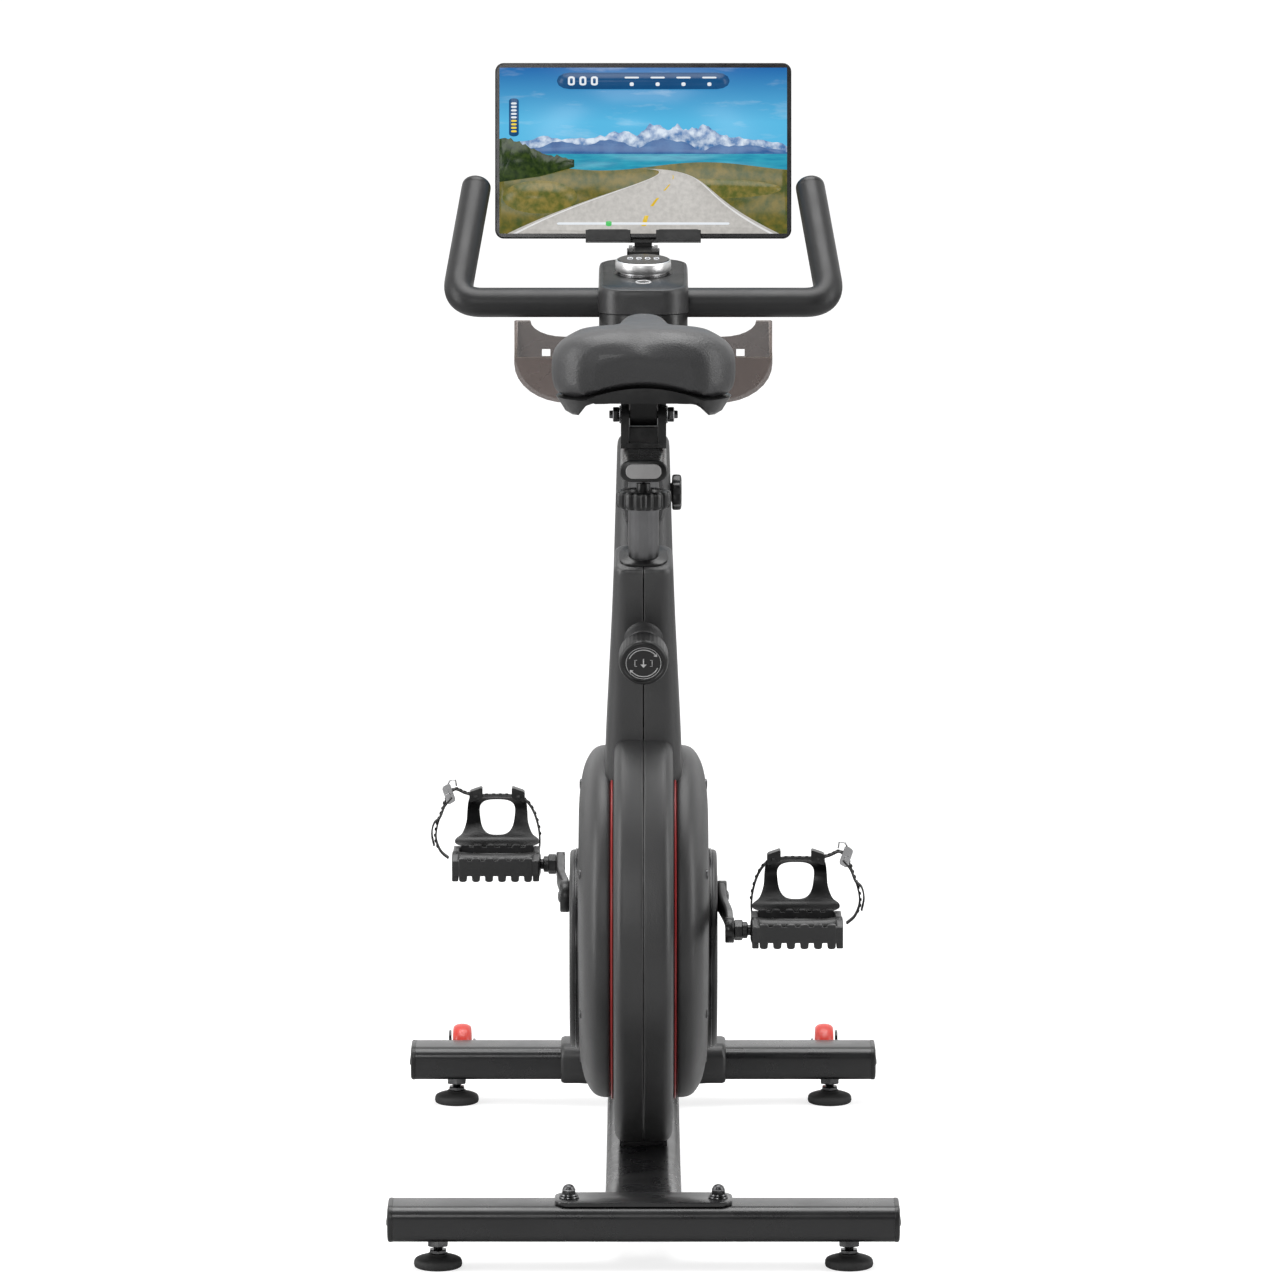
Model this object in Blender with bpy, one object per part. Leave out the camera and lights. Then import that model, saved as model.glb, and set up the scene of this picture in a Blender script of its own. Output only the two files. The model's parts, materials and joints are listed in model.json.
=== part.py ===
"""Upright exercise bike as an assembly of separate closed solids.

Metres, +Z up. The rider faces +Y and +X is the rider's right. Positions below
are measured forward from the rear stabiliser's centre line; place() shifts them
so that the origin is at the middle of the bike's footprint, on the floor.
"""
import math

import bpy
import bmesh
from mathutils import Vector

# --- driving dimensions -------------------------------------------------------
GAP = 0.0003                    # clearance between touching pieces
MID_Y = 0.4483                  # footprint middle, forward of the rear stabiliser
WHEELBASE = 0.80                # rear to front stabiliser
STABILISER_HALF = 0.260
STABILISER_DEPTH = 0.060
STABILISER_HEIGHT = 0.038
STABILISER_Z = 0.0495
TUBE_WALL = 0.002
FOOT_X = 0.2135
WHEEL_X = 0.2085
WHEEL_CENTRE = (0.861, 0.0515)  # (forward, up)
WHEEL_RADIUS = 0.027
BOLT_X = 0.0776
CASING = (0.370, 0.294)         # casing centre (forward, up)
RIM_RADIUS = 0.239
RIM_HALF_WIDTH = 0.034
CRANK = (0.375, 0.320)
CRANK_LENGTH = 0.170
CRANK_TILT = math.radians(1.4)
FLYWHEEL = (0.440, 0.200)
FLYWHEEL_RADIUS = 0.112
CRANK_PULLEY_RADIUS = 0.090
SMALL_PULLEY_RADIUS = 0.020
BELT_X = (-0.051, -0.037)
MAGNET_PIVOT = (0.343, 0.272)
SEAT_BASE = (0.380, 0.320)      # a point on the seat tube's axis
SEAT_LEAN = math.radians(18.7)
SEAT_TUBE_TOP = 0.395           # along the axis from SEAT_BASE
PIN_STATION = 0.3294
SEAT_POST_RADIUS = 0.016
SLIDER_Z = 0.820
CLAMP_PIVOT = (0.215, 0.865)
BAR = (0.715, 0.929)            # handlebar crossbar centre (forward, up)
BAR_RADIUS = 0.0165
BAR_HALF = 0.2095
BAR_BEND = 0.030                # run of each corner bend
BAR_SIDES = 12
COLUMN_LEAN = math.radians(24.2)
COLUMN_RADIUS = 0.021
DECK_SLOPE = 0.0944
DIAL_Y = 0.752
HOLDER_PIVOT = (0.903, 0.9655)
TRAY_REAR = 0.724
TRAY_FRONT = 0.816
TRAY_HALF = 0.1444
TRAY_FLOOR = 0.8155
TRAY_WALL = 0.003
PEDAL_MIDDLE = 0.1625           # toe cage and teeth centre, out from the bike's middle
TOOTH_PITCH = 0.0143
GRIP_RADIUS = 0.012              # finger lobes are cut only where a knob is wider than this
TABLET_BASE = (0.884, 0.9845)
TABLET_LEAN = math.radians(10.0)
TABLET_SIZE = (0.337, 0.200, 0.008)

SEAT_DIR = Vector((0.0, -math.sin(SEAT_LEAN), math.cos(SEAT_LEAN)))
SEAT_BACK = Vector((0.0, -math.cos(SEAT_LEAN), -math.sin(SEAT_LEAN)))
COLUMN_DIR = Vector((0.0, math.sin(COLUMN_LEAN), math.cos(COLUMN_LEAN)))
X_AXIS = Vector((1.0, 0.0, 0.0))
Y_AXIS = Vector((0.0, 1.0, 0.0))
Z_AXIS = Vector((0.0, 0.0, 1.0))
SIDES = (("left", -1), ("right", 1))

# name: (colour, roughness, metallic)
FINISHES = {
    "frame_black": ((0.035, 0.035, 0.037), 0.42, 0.35),
    "cover_charcoal": ((0.060, 0.060, 0.061), 0.55, 0.0),
    "plastic_black": ((0.022, 0.022, 0.023), 0.50, 0.0),
    "plug_grey": ((0.420, 0.415, 0.415), 0.50, 0.0),
    "wheel_red": ((0.760, 0.120, 0.080), 0.35, 0.0),
    "steel": ((0.520, 0.520, 0.530), 0.30, 1.0),
    "iron": ((0.300, 0.300, 0.310), 0.45, 1.0),
    "rubber": ((0.030, 0.030, 0.030), 0.80, 0.0),
    "strap": ((0.025, 0.025, 0.025), 0.75, 0.0),
    "saddle_skin": ((0.055, 0.055, 0.056), 0.58, 0.0),
    "smoked": ((0.200, 0.165, 0.155), 0.20, 0.0),
    "silver": ((0.680, 0.680, 0.680), 0.28, 1.0),
    "screen": ((0.020, 0.020, 0.022), 0.18, 0.0),
}


def place(x, y, z):
    """A point given forward of the rear stabiliser, in the part's frame."""
    return Vector((x, y - MID_Y, z))


def clear_scene():
    for item in list(bpy.data.objects):
        bpy.data.objects.remove(item, do_unlink=True)


def finish_material(finish):
    if finish in bpy.data.materials:
        return bpy.data.materials[finish]
    colour, roughness, metallic = FINISHES[finish]
    made = bpy.data.materials.new(finish)
    made.use_nodes = True
    shader = made.node_tree.nodes["Principled BSDF"]
    shader.inputs["Base Color"].default_value = (*colour, 1.0)
    shader.inputs["Roughness"].default_value = roughness
    shader.inputs["Metallic"].default_value = metallic
    made.diffuse_color = (*colour, 1.0)
    return made


def add_piece(name, shape, finish, origin=None, sharp=35.0):
    """Turn a bmesh in world places into a named object with its own origin."""
    origin = origin or Vector()
    bmesh.ops.recalc_face_normals(shape, faces=shape.faces)
    bmesh.ops.translate(shape, verts=shape.verts, vec=-origin)
    mesh = bpy.data.meshes.new(name)
    shape.to_mesh(mesh)
    shape.free()
    mesh.shade_smooth()
    mesh.set_sharp_from_angle(angle=math.radians(sharp))
    piece = bpy.data.objects.new(name, mesh)
    piece.location = origin
    bpy.context.scene.collection.objects.link(piece)
    mesh.materials.append(finish_material(finish))
    return piece


def add_tool(name, shape):
    """A Boolean tool: it shapes its target and isn't a piece."""
    tool = add_piece("tool_" + name, shape, "steel")
    tool.hide_render = True
    tool.display_type = "WIRE"
    return tool


def boolean(piece, tool, operation="DIFFERENCE"):
    step = piece.modifiers.new(operation.lower() + "_" + tool.name, "BOOLEAN")
    step.operation = operation
    step.object = tool
    step.solver = "EXACT"


def hang(pivot_name, pivot, pieces):
    """Parent the pieces of a moving group to an empty on its joint axis."""
    empty = bpy.data.objects.new(pivot_name, None)
    empty.location = pivot
    bpy.context.scene.collection.objects.link(empty)
    for piece in pieces:
        piece.parent = empty
        piece.location = piece.location - pivot


# --- outlines and bodies ------------------------------------------------------
def rounded_rect(width, height, radius, corner_points=4):
    """Counter-clockwise outline of a rectangle with round corners."""
    points = []
    for index, (sx, sy) in enumerate(((1, 1), (-1, 1), (-1, -1), (1, -1))):
        centre = (sx * (width / 2 - radius), sy * (height / 2 - radius))
        for k in range(corner_points):
            angle = math.pi / 2 * (index + k / (corner_points - 1))
            points.append((centre[0] + radius * math.cos(angle),
                           centre[1] + radius * math.sin(angle)))
    return points


def circle(radius, segments):
    return [(radius * math.cos(2 * math.pi * k / segments),
             radius * math.sin(2 * math.pi * k / segments)) for k in range(segments)]


def loft(rings, closed=False):
    """Join rings of equal point count; closed joins the last to the first."""
    shape = bmesh.new()
    loops = [[shape.verts.new(point) for point in ring] for ring in rings]
    count = len(loops)
    size = len(loops[0])
    for i in range(count if closed else count - 1):
        lower, upper = loops[i], loops[(i + 1) % count]
        for k in range(size):
            nxt = (k + 1) % size
            shape.faces.new((lower[k], lower[nxt], upper[nxt], upper[k]))
    if not closed:
        shape.faces.new(loops[0])
        shape.faces.new(list(reversed(loops[-1])))
    return shape


def axis_frame(axis):
    """Two unit vectors square to an axis."""
    helper = X_AXIS if abs(axis.x) < 0.9 else Y_AXIS
    first = axis.cross(helper).normalized()
    return first, axis.cross(first).normalized()


def turned(profile, centre, axis, segments=24, closed=False, lobes=0, lobe_depth=0.0):
    """Revolve (radius, height) points about an axis through centre."""
    first, second = axis_frame(axis)
    shape = bmesh.new()
    loops = []
    for radius, height in profile:
        base = centre + axis * height
        if radius < 1e-6:
            loops.append([shape.verts.new(base)])
            continue
        loop = []
        for k in range(segments):
            angle = 2 * math.pi * k / segments
            reach = radius
            if radius > GRIP_RADIUS:
                reach += radius * lobe_depth * math.cos(lobes * angle)
            loop.append(shape.verts.new(base + first * (reach * math.cos(angle))
                                        + second * (reach * math.sin(angle))))
        loops.append(loop)
    pairs = list(zip(loops, loops[1:]))
    if closed:
        pairs.append((loops[-1], loops[0]))
    for lower, upper in pairs:
        for k in range(segments):
            nxt = (k + 1) % segments
            if len(lower) == 1:
                shape.faces.new((lower[0], upper[k], upper[nxt]))
            elif len(upper) == 1:
                shape.faces.new((lower[k], upper[0], lower[nxt]))
            else:
                shape.faces.new((lower[k], lower[nxt], upper[nxt], upper[k]))
    if not closed:
        for loop in (loops[0], loops[-1]):
            if len(loop) > 1:
                shape.faces.new(loop)
    return shape


def prism(outline, low, high, plane):
    """Extrude a closed 2D outline along the axis that its plane leaves out."""
    makers = {
        "YZ": lambda a, b, c: place(c, a, b),
        "XZ": lambda a, b, c: place(a, c, b),
        "XY": lambda a, b, c: place(a, b, c),
    }
    maker = makers[plane]
    return loft([[maker(a, b, level) for a, b in outline] for level in (low, high)])


def box(low, high):
    outline = [(low[0], low[1]), (high[0], low[1]), (high[0], high[1]), (low[0], high[1])]
    return prism(outline, low[2], high[2], "XY")


def rod(radius, start, end, segments=12):
    axis = (end - start).normalized()
    return turned([(radius, 0.0), (radius, (end - start).length)], start, axis, segments)


def sweep(path, radii):
    """Rings of a round bar along a path, without twist."""
    tangents = []
    for i in range(len(path)):
        before = path[max(i - 1, 0)]
        after = path[min(i + 1, len(path) - 1)]
        tangents.append((after - before).normalized())
    first, second = axis_frame(tangents[0])
    rings = []
    for i, point in enumerate(path):
        if i:
            turn = tangents[i - 1].rotation_difference(tangents[i])
            first = turn @ first
            second = turn @ second
        rings.append([point + first * a + second * b for a, b in circle(radii[i], BAR_SIDES)])
    return rings


def x_hollow(section, inner, x_low, x_high, y, z):
    """A straight open-ended tube along X."""
    rings = []
    for outline, x in ((section, x_low), (section, x_high), (inner, x_high), (inner, x_low)):
        rings.append([place(x, y + a, z + b) for a, b in outline])
    return loft(rings, closed=True)


# --- base ---------------------------------------------------------------------
def stabiliser_tube(name, y):
    outer = rounded_rect(STABILISER_DEPTH, STABILISER_HEIGHT, 0.012)
    inner = rounded_rect(STABILISER_DEPTH - 2 * TUBE_WALL,
                         STABILISER_HEIGHT - 2 * TUBE_WALL, 0.010)
    tube = add_piece(name, x_hollow(outer, inner, -STABILISER_HALF, STABILISER_HALF,
                                    y, STABILISER_Z), "frame_black")
    for side, sign in SIDES:
        hole = rod(0.0045, place(sign * FOOT_X, y, 0.024), place(sign * FOOT_X, y, 0.038))
        boolean(tube, add_tool(name + "_foot_hole_" + side, hole))
    return tube


def end_cap(name, y, sign):
    """A push-in cap: a plug inside the tube and a crowned face outside."""
    sizes = ((0.2480, 0.0546, 0.0326, 0.009), (0.2602, 0.0550, 0.0330, 0.009),
             (0.2603, 0.0600, 0.0380, 0.012), (0.2636, 0.0600, 0.0380, 0.012),
             (0.2655, 0.0520, 0.0300, 0.010))
    rings = []
    for x, depth, height, radius in sizes:
        outline = rounded_rect(depth, height, radius)
        rings.append([place(sign * x, y + a, STABILISER_Z + b) for a, b in outline])
    add_piece(name, loft(rings), "plastic_black")


def levelling_foot(name, x, y):
    profile = [(0.0, 0.0), (0.025, 0.0), (0.025, 0.0045), (0.0225, 0.0085),
               (0.0085, 0.0125), (0.0085, 0.0220), (0.0115, 0.0220),
               (0.0115, 0.0302), (0.0040, 0.0302), (0.0040, 0.0460), (0.0, 0.0460)]
    origin = place(x, y, 0.0)
    return add_piece(name, turned(profile, origin, Z_AXIS, 14), "rubber", origin)


def transport_wheel(name, sign):
    profile = [(0.0044, -0.011), (0.0200, -0.011), (0.0248, -0.0075), (WHEEL_RADIUS, 0.0),
               (0.0248, 0.0075), (0.0200, 0.011), (0.0044, 0.011)]
    centre = place(sign * WHEEL_X, *WHEEL_CENTRE)
    return add_piece(name, turned(profile, centre, X_AXIS, 18, closed=True), "wheel_red", centre)


def wheel_bracket(side, sign, tube):
    """A fork with its axle pin, welded to the front of the stabiliser."""
    x = sign * WHEEL_X
    y, z = WHEEL_CENTRE
    back = WHEELBASE + STABILISER_DEPTH / 2 - 0.001
    outline = [(x - 0.0155, back), (x + 0.0155, back), (x + 0.0155, y + 0.008),
               (x + 0.0125, y + 0.008), (x + 0.0125, back + 0.0035),
               (x - 0.0125, back + 0.0035), (x - 0.0125, y + 0.008), (x - 0.0155, y + 0.008)]
    fork = add_tool("fork_" + side, prism(outline, z - 0.010, z + 0.010, "XY"))
    pin_profile = [(0.0065, -0.0185), (0.0065, -0.0145), (0.0040, -0.0145), (0.0040, 0.0145),
                   (0.0065, 0.0145), (0.0065, 0.0185)]
    pin = add_tool("fork_pin_" + side, turned(pin_profile, place(x, y, z), X_AXIS, 12))
    boolean(tube, fork, "UNION")
    boolean(tube, pin, "UNION")


def flange_plate():
    z_low = STABILISER_Z + STABILISER_HEIGHT / 2 + GAP
    plate = add_piece("rear_flange_plate", prism(rounded_rect(0.184, 0.048, 0.012), z_low,
                                                 z_low + 0.0045, "XY"), "frame_black")
    for side, sign in SIDES:
        hole = rod(0.0045, place(sign * BOLT_X, 0, 0.062), place(sign * BOLT_X, 0, 0.084))
        tool = add_tool("bolt_hole_" + side, hole)
        boolean(plate, tool)
        boolean(bpy.data.objects["rear_stabiliser_tube"], tool)


def base_beam():
    """Flat-oval tube under the casing, from the rear to the front stabiliser."""
    stations = ((0.0303, 0.0530), (0.120, 0.0485), (0.220, 0.0415), (0.330, 0.0365),
                (0.7655, 0.0360))
    outer = rounded_rect(0.080, 0.030, 0.0145, 4)
    inner = rounded_rect(0.076, 0.026, 0.0125, 4)
    rings = [[place(a, y, z + b) for a, b in outer] for y, z in stations]
    rings += [[place(a, y, z + b) for a, b in inner] for y, z in reversed(stations)]
    add_piece("base_beam", loft(rings, closed=True), "frame_black")


def front_shroud():
    outer = rounded_rect(0.068, 0.047, 0.015)
    inner = rounded_rect(STABILISER_DEPTH + 2 * GAP, STABILISER_HEIGHT + 2 * GAP, 0.0122)
    add_piece("front_shroud", x_hollow(outer, inner, -0.094, 0.094, WHEELBASE, STABILISER_Z),
              "plastic_black")


def build_base():
    stabiliser_tube("rear_stabiliser_tube", 0.0)
    front = stabiliser_tube("front_stabiliser_tube", WHEELBASE)
    flange_plate()
    base_beam()
    front_shroud()
    for end, y in (("rear", 0.0), ("front", WHEELBASE)):
        for side, sign in SIDES:
            end_cap(end + "_end_cap_" + side, y, sign)
            levelling_foot(end + "_foot_" + side, sign * FOOT_X, y)
    for side, sign in SIDES:
        wheel_bracket(side, sign, front)
        transport_wheel("transport_wheel_" + side, sign)


# --- casing -------------------------------------------------------------------
RIM_OUTER = ((RIM_RADIUS, 0.0), (0.2375, 0.0210), (0.2265, 0.0305), (0.203, RIM_HALF_WIDTH),
             (0.165, RIM_HALF_WIDTH))
SIDE_OUTER = ((0.190, 0.0343), (0.190, 0.0460), (0.1810, 0.0570), (0.1620, 0.0655),
              (0.1400, 0.0690), (0.1200, 0.0705))
CASING_SEGMENTS = 30


def casing_solid(name, margin):
    """The casing's outside, grown by a margin: what the tube covers sit on."""
    half = [(radius + margin, width + margin) for radius, width in SIDE_OUTER[::-1]]
    rim = [(radius + margin, width + margin) for radius, width in RIM_OUTER[3::-1]]
    profile = half + rim
    whole = [(r, x) for r, x in profile] + [(r, -x) for r, x in profile[::-1]]
    return add_tool(name, turned(whole, place(0, *CASING), X_AXIS, CASING_SEGMENTS))


def tube_through(name, point, direction, radius, low, high):
    return add_tool(name, rod(radius, point + direction * low, point + direction * high, 16))


def rim_covers(seat_hole, column_hole):
    """Two turned half shells that meet on the centre plane."""
    wall = 0.003
    slot = add_tool("beam_slot", box((-0.028, 0.320, 0.040), (0.028, 0.430, 0.080)))
    for side, sign in SIDES:
        outer = [(radius, max(width, GAP / 2)) for radius, width in RIM_OUTER]
        inner = [(RIM_RADIUS - wall, GAP / 2), (0.2345, 0.0200), (0.2245, 0.0280),
                 (0.203, 0.0310), (0.165, 0.0310)]
        profile = [(r, sign * w) for r, w in outer + inner[::-1]]
        cover = add_piece("rim_cover_" + side, turned(profile, place(0, *CASING), X_AXIS,
                                                      CASING_SEGMENTS, closed=True),
                          "cover_charcoal")
        for tool in (slot, seat_hole, column_hole):
            boolean(cover, tool)


def side_covers():
    """Bowl-shaped side covers with a hole for the crank axle."""
    for side, sign in SIDES:
        outer = list(SIDE_OUTER) + [(0.0, 0.0705)]
        inner = [(0.0, 0.0675), (0.1190, 0.0675), (0.1600, 0.0625), (0.1780, 0.0550),
                 (0.1868, 0.0445), (0.1868, 0.0343)]
        profile = [(r, sign * w) for r, w in inner[::-1]]
        profile = [(r, sign * w) for r, w in outer[::-1]] + profile
        shell = turned(profile, place(0, *CASING), X_AXIS, CASING_SEGMENTS)
        cover = add_piece("side_cover_" + side, shell, "cover_charcoal")
        start = place(sign * 0.060, *CRANK)
        hole = add_tool("axle_hole_" + side, rod(0.0125, start, start + X_AXIS * sign * 0.03, 16))
        boolean(cover, hole)
        centre = place(0, 0.370, 0.264)
        disc = [(0.0, 0.0708), (0.1070, 0.0708), (0.1070, 0.0770), (0.1040, 0.0795),
                (0.0, 0.0795)]
        panel = add_piece("side_disc_" + side,
                          turned([(r, sign * w) for r, w in disc], centre, X_AXIS,
                                 CASING_SEGMENTS), "plastic_black")
        boolean(panel, hole)


def cover_rings(point, direction, back, stations):
    """Rings of a leaning cover: (station, half width, rear reach, front reach)."""
    rings = []
    for station, half, rear, front in stations:
        middle = point + direction * station + back * ((rear - front) / 2)
        depth = rear + front
        outline = rounded_rect(2 * half, depth, min(half, depth / 2) * 0.62, 4)
        rings.append([middle + X_AXIS * a - back * b for a, b in outline])
    return rings


def split_cover(name, rings, cavity_rings, tools):
    """Left and right halves of a hollow cover, cut by their shared tools."""
    cavity = add_tool(name + "_cavity", loft(cavity_rings))
    for side, sign in SIDES:
        low = place(GAP / 2, 0.0, 0.2) if sign > 0 else place(-0.2, 0.0, 0.2)
        high = place(0.2, 1.0, 1.2) if sign > 0 else place(-GAP / 2, 1.0, 1.2)
        keep = loft([[Vector((x, y, z)) for x, y in ((low.x, low.y), (high.x, low.y),
                                                    (high.x, high.y), (low.x, high.y))]
                     for z in (low.z, high.z)])
        half = add_piece(name + "_" + side, loft(rings), "cover_charcoal")
        boolean(half, add_tool(name + "_half_" + side, keep), "INTERSECT")
        for tool in [cavity] + tools:
            boolean(half, tool)


def build_covers():
    seat_point = place(0, *SEAT_BASE)
    bar_point = place(0, *BAR)
    seat_hole = tube_through("seat_tube_hole", seat_point, SEAT_DIR, 0.0205, 0.05, 0.32)
    column_hole = tube_through("column_tube_hole", bar_point, -COLUMN_DIR, 0.0225, 0.20, 0.66)
    rim_covers(seat_hole, column_hole)
    side_covers()
    envelope = casing_solid("casing_outside", 0.0005)
    seat_stations = ((0.09, 0.0415, 0.0480, 0.050), (0.19, 0.0405, 0.0460, 0.046),
                     (0.28, 0.0365, 0.0390, 0.038), (0.34, 0.0335, 0.0350, 0.034),
                     (0.400, 0.0310, 0.0320, 0.031), (0.4035, 0.0285, 0.0295, 0.0285))
    seat_cavity = [(s, w - 0.003, r - 0.003, f - 0.003) for s, w, r, f in seat_stations[:4]]
    seat_cavity = [(0.08, 0.0385, 0.0450, 0.047)] + seat_cavity[1:]
    seat_cavity.append((0.394, 0.0282, 0.0292, 0.0282))
    bush = tube_through("bush_hole", seat_point, SEAT_DIR, 0.0236, 0.380, 0.420)
    pin_point = seat_point + SEAT_DIR * PIN_STATION
    pin = add_tool("cover_pin_hole", rod(0.0105, pin_point + SEAT_BACK * 0.024,
                                         pin_point + SEAT_BACK * 0.060, 16))
    split_cover("seat_tube_cover", cover_rings(seat_point, SEAT_DIR, SEAT_BACK, seat_stations),
                cover_rings(seat_point, SEAT_DIR, SEAT_BACK, seat_cavity), [envelope, bush, pin])
    column_back = Vector((0.0, -math.cos(COLUMN_LEAN), math.sin(COLUMN_LEAN)))
    column_stations = ((-0.57, 0.0400, 0.044, 0.052), (-0.46, 0.0365, 0.040, 0.042),
                       (-0.32, 0.0330, 0.035, 0.035), (-0.165, 0.0285, 0.030, 0.030),
                       (-0.160, 0.0265, 0.028, 0.028))
    column_cavity = [(s, w - 0.003, r - 0.003, f - 0.003) for s, w, r, f in column_stations[:3]]
    column_cavity[0] = (-0.58, 0.0370, 0.041, 0.049)
    column_cavity.append((-0.168, 0.0257, 0.0270, 0.0270))
    mouth = tube_through("column_mouth", bar_point, COLUMN_DIR, 0.0215, -0.175, -0.150)
    knob_y, knob_z = knob_place()
    knob_hole = add_tool("knob_hole", rod(0.0055, place(0.005, knob_y, knob_z),
                                          place(0.045, knob_y, knob_z), 12))
    split_cover("column_cover", cover_rings(bar_point, COLUMN_DIR, column_back, column_stations),
                cover_rings(bar_point, COLUMN_DIR, column_back, column_cavity),
                [envelope, mouth, knob_hole])
    return knob_hole


# --- frame, drive and brake ---------------------------------------------------
def knob_place():
    """Where the column clamp knob's axis crosses the column axis."""
    height = 0.728
    reach = (height - BAR[1]) / math.cos(COLUMN_LEAN)
    return BAR[0] + reach * math.sin(COLUMN_LEAN), height


def build_frame(knob_hole):
    plate = [(0.335, 0.0522), (0.405, 0.0522), (0.472, 0.175), (0.490, 0.400), (0.445, 0.420),
             (0.390, 0.372), (0.330, 0.440), (0.295, 0.420), (0.335, 0.300)]
    core = add_piece("frame_core", prism(plate, 0.0215, 0.0255, "YZ"), "frame_black")
    boolean(core, add_tool("core_left", prism(plate, -0.0255, -0.0215, "YZ")), "UNION")
    foot = box((-0.0250, 0.337, 0.0530), (0.0250, 0.403, 0.0565))
    boolean(core, add_tool("core_foot", foot), "UNION")
    boolean(core, add_tool("bottom_bracket", rod(0.018, place(-0.034, *CRANK),
                                                 place(0.034, *CRANK), 20)), "UNION")
    boolean(core, add_tool("bracket_bore", rod(0.0089, place(-0.036, *CRANK),
                                               place(0.036, *CRANK), 20)))
    boolean(core, add_tool("hub_hole", rod(0.0135, place(-0.030, *FLYWHEEL),
                                           place(-0.018, *FLYWHEEL), 16)))
    boolean(core, add_tool("wheel_axle", rod(0.0060, place(-0.056, *FLYWHEEL),
                                             place(0.0240, *FLYWHEEL), 14)), "UNION")
    boolean(core, add_tool("brake_pin", rod(0.0035, place(-0.0240, *MAGNET_PIVOT),
                                            place(0.0240, *MAGNET_PIVOT), 12)), "UNION")

    seat_point = place(0, *SEAT_BASE)
    seat_profile = [(0.0190, 0.060), (0.0190, SEAT_TUBE_TOP), (0.0167, SEAT_TUBE_TOP),
                    (0.0167, 0.060)]
    seat_tube = add_piece("seat_tube", turned(seat_profile, seat_point, SEAT_DIR, 16,
                                              closed=True), "frame_black")
    pin_point = seat_point + SEAT_DIR * PIN_STATION
    boolean(seat_tube, add_tool("tube_pin_hole", rod(0.0055, pin_point + SEAT_BACK * 0.010,
                                                     pin_point + SEAT_BACK * 0.024)))
    bush = [(0.0225, SEAT_TUBE_TOP + GAP), (0.0225, 0.4120), (0.0215, 0.4135),
            (0.0165, 0.4135), (0.0165, SEAT_TUBE_TOP + GAP)]
    add_piece("seat_tube_bushing", turned(bush, seat_point, SEAT_DIR, 20, closed=True),
              "plastic_black")
    bar_point = place(0, *BAR)
    column = [(COLUMN_RADIUS, -0.632), (COLUMN_RADIUS, -0.158), (0.0184, -0.158),
              (0.0184, -0.632)]
    column_tube = add_piece("column_tube", turned(column, bar_point, COLUMN_DIR, 16,
                                                  closed=True), "frame_black")
    boolean(column_tube, knob_hole)


def belt_outline(offset):
    """The line round both pulleys, in (forward, up), at an offset from their roots."""
    big = CRANK_PULLEY_RADIUS + offset
    small = SMALL_PULLEY_RADIUS + offset
    along = Vector((FLYWHEEL[0] - CRANK[0], FLYWHEEL[1] - CRANK[1]))
    heading = math.atan2(along.y, along.x)
    spread = math.acos((big - small) / along.length)
    points = []
    for k in range(25):
        angle = heading + spread + (2 * math.pi - 2 * spread) * k / 24
        points.append((CRANK[0] + big * math.cos(angle), CRANK[1] + big * math.sin(angle)))
    for k in range(9):
        angle = heading - spread + 2 * spread * k / 8
        points.append((FLYWHEEL[0] + small * math.cos(angle),
                       FLYWHEEL[1] + small * math.sin(angle)))
    return points


def drive_belt():
    rings = []
    for offset, x in ((0.0006, BELT_X[0]), (0.0006, BELT_X[1]), (0.0036, BELT_X[1]),
                      (0.0036, BELT_X[0])):
        rings.append([place(x, y, z) for y, z in belt_outline(offset)])
    add_piece("drive_belt", loft(rings, closed=True), "rubber")


def magnet_bracket():
    """A curved arm that swings the brake magnets away from the flywheel's edge."""
    first, last = math.radians(146.0), math.radians(206.0)
    inner, outer = FLYWHEEL_RADIUS + 0.003, FLYWHEEL_RADIUS + 0.0095
    outline = []
    for radius, start, end in ((inner, first, last), (outer, last, first)):
        for k in range(9):
            angle = start + (end - start) * k / 8
            outline.append((FLYWHEEL[0] + radius * math.cos(angle),
                            FLYWHEEL[1] + radius * math.sin(angle)))
    origin = place(0, *MAGNET_PIVOT)
    arm = add_piece("magnet_bracket", prism(outline, -0.012, 0.012, "YZ"), "iron", origin)
    eye = add_tool("brake_eye", rod(0.0068, origin - X_AXIS * 0.0115, origin + X_AXIS * 0.0115, 16))
    bore = add_tool("brake_bore", rod(0.0038, origin - X_AXIS * 0.02, origin + X_AXIS * 0.02, 12))
    boolean(arm, eye, "UNION")
    boolean(arm, bore)
    return arm


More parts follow.
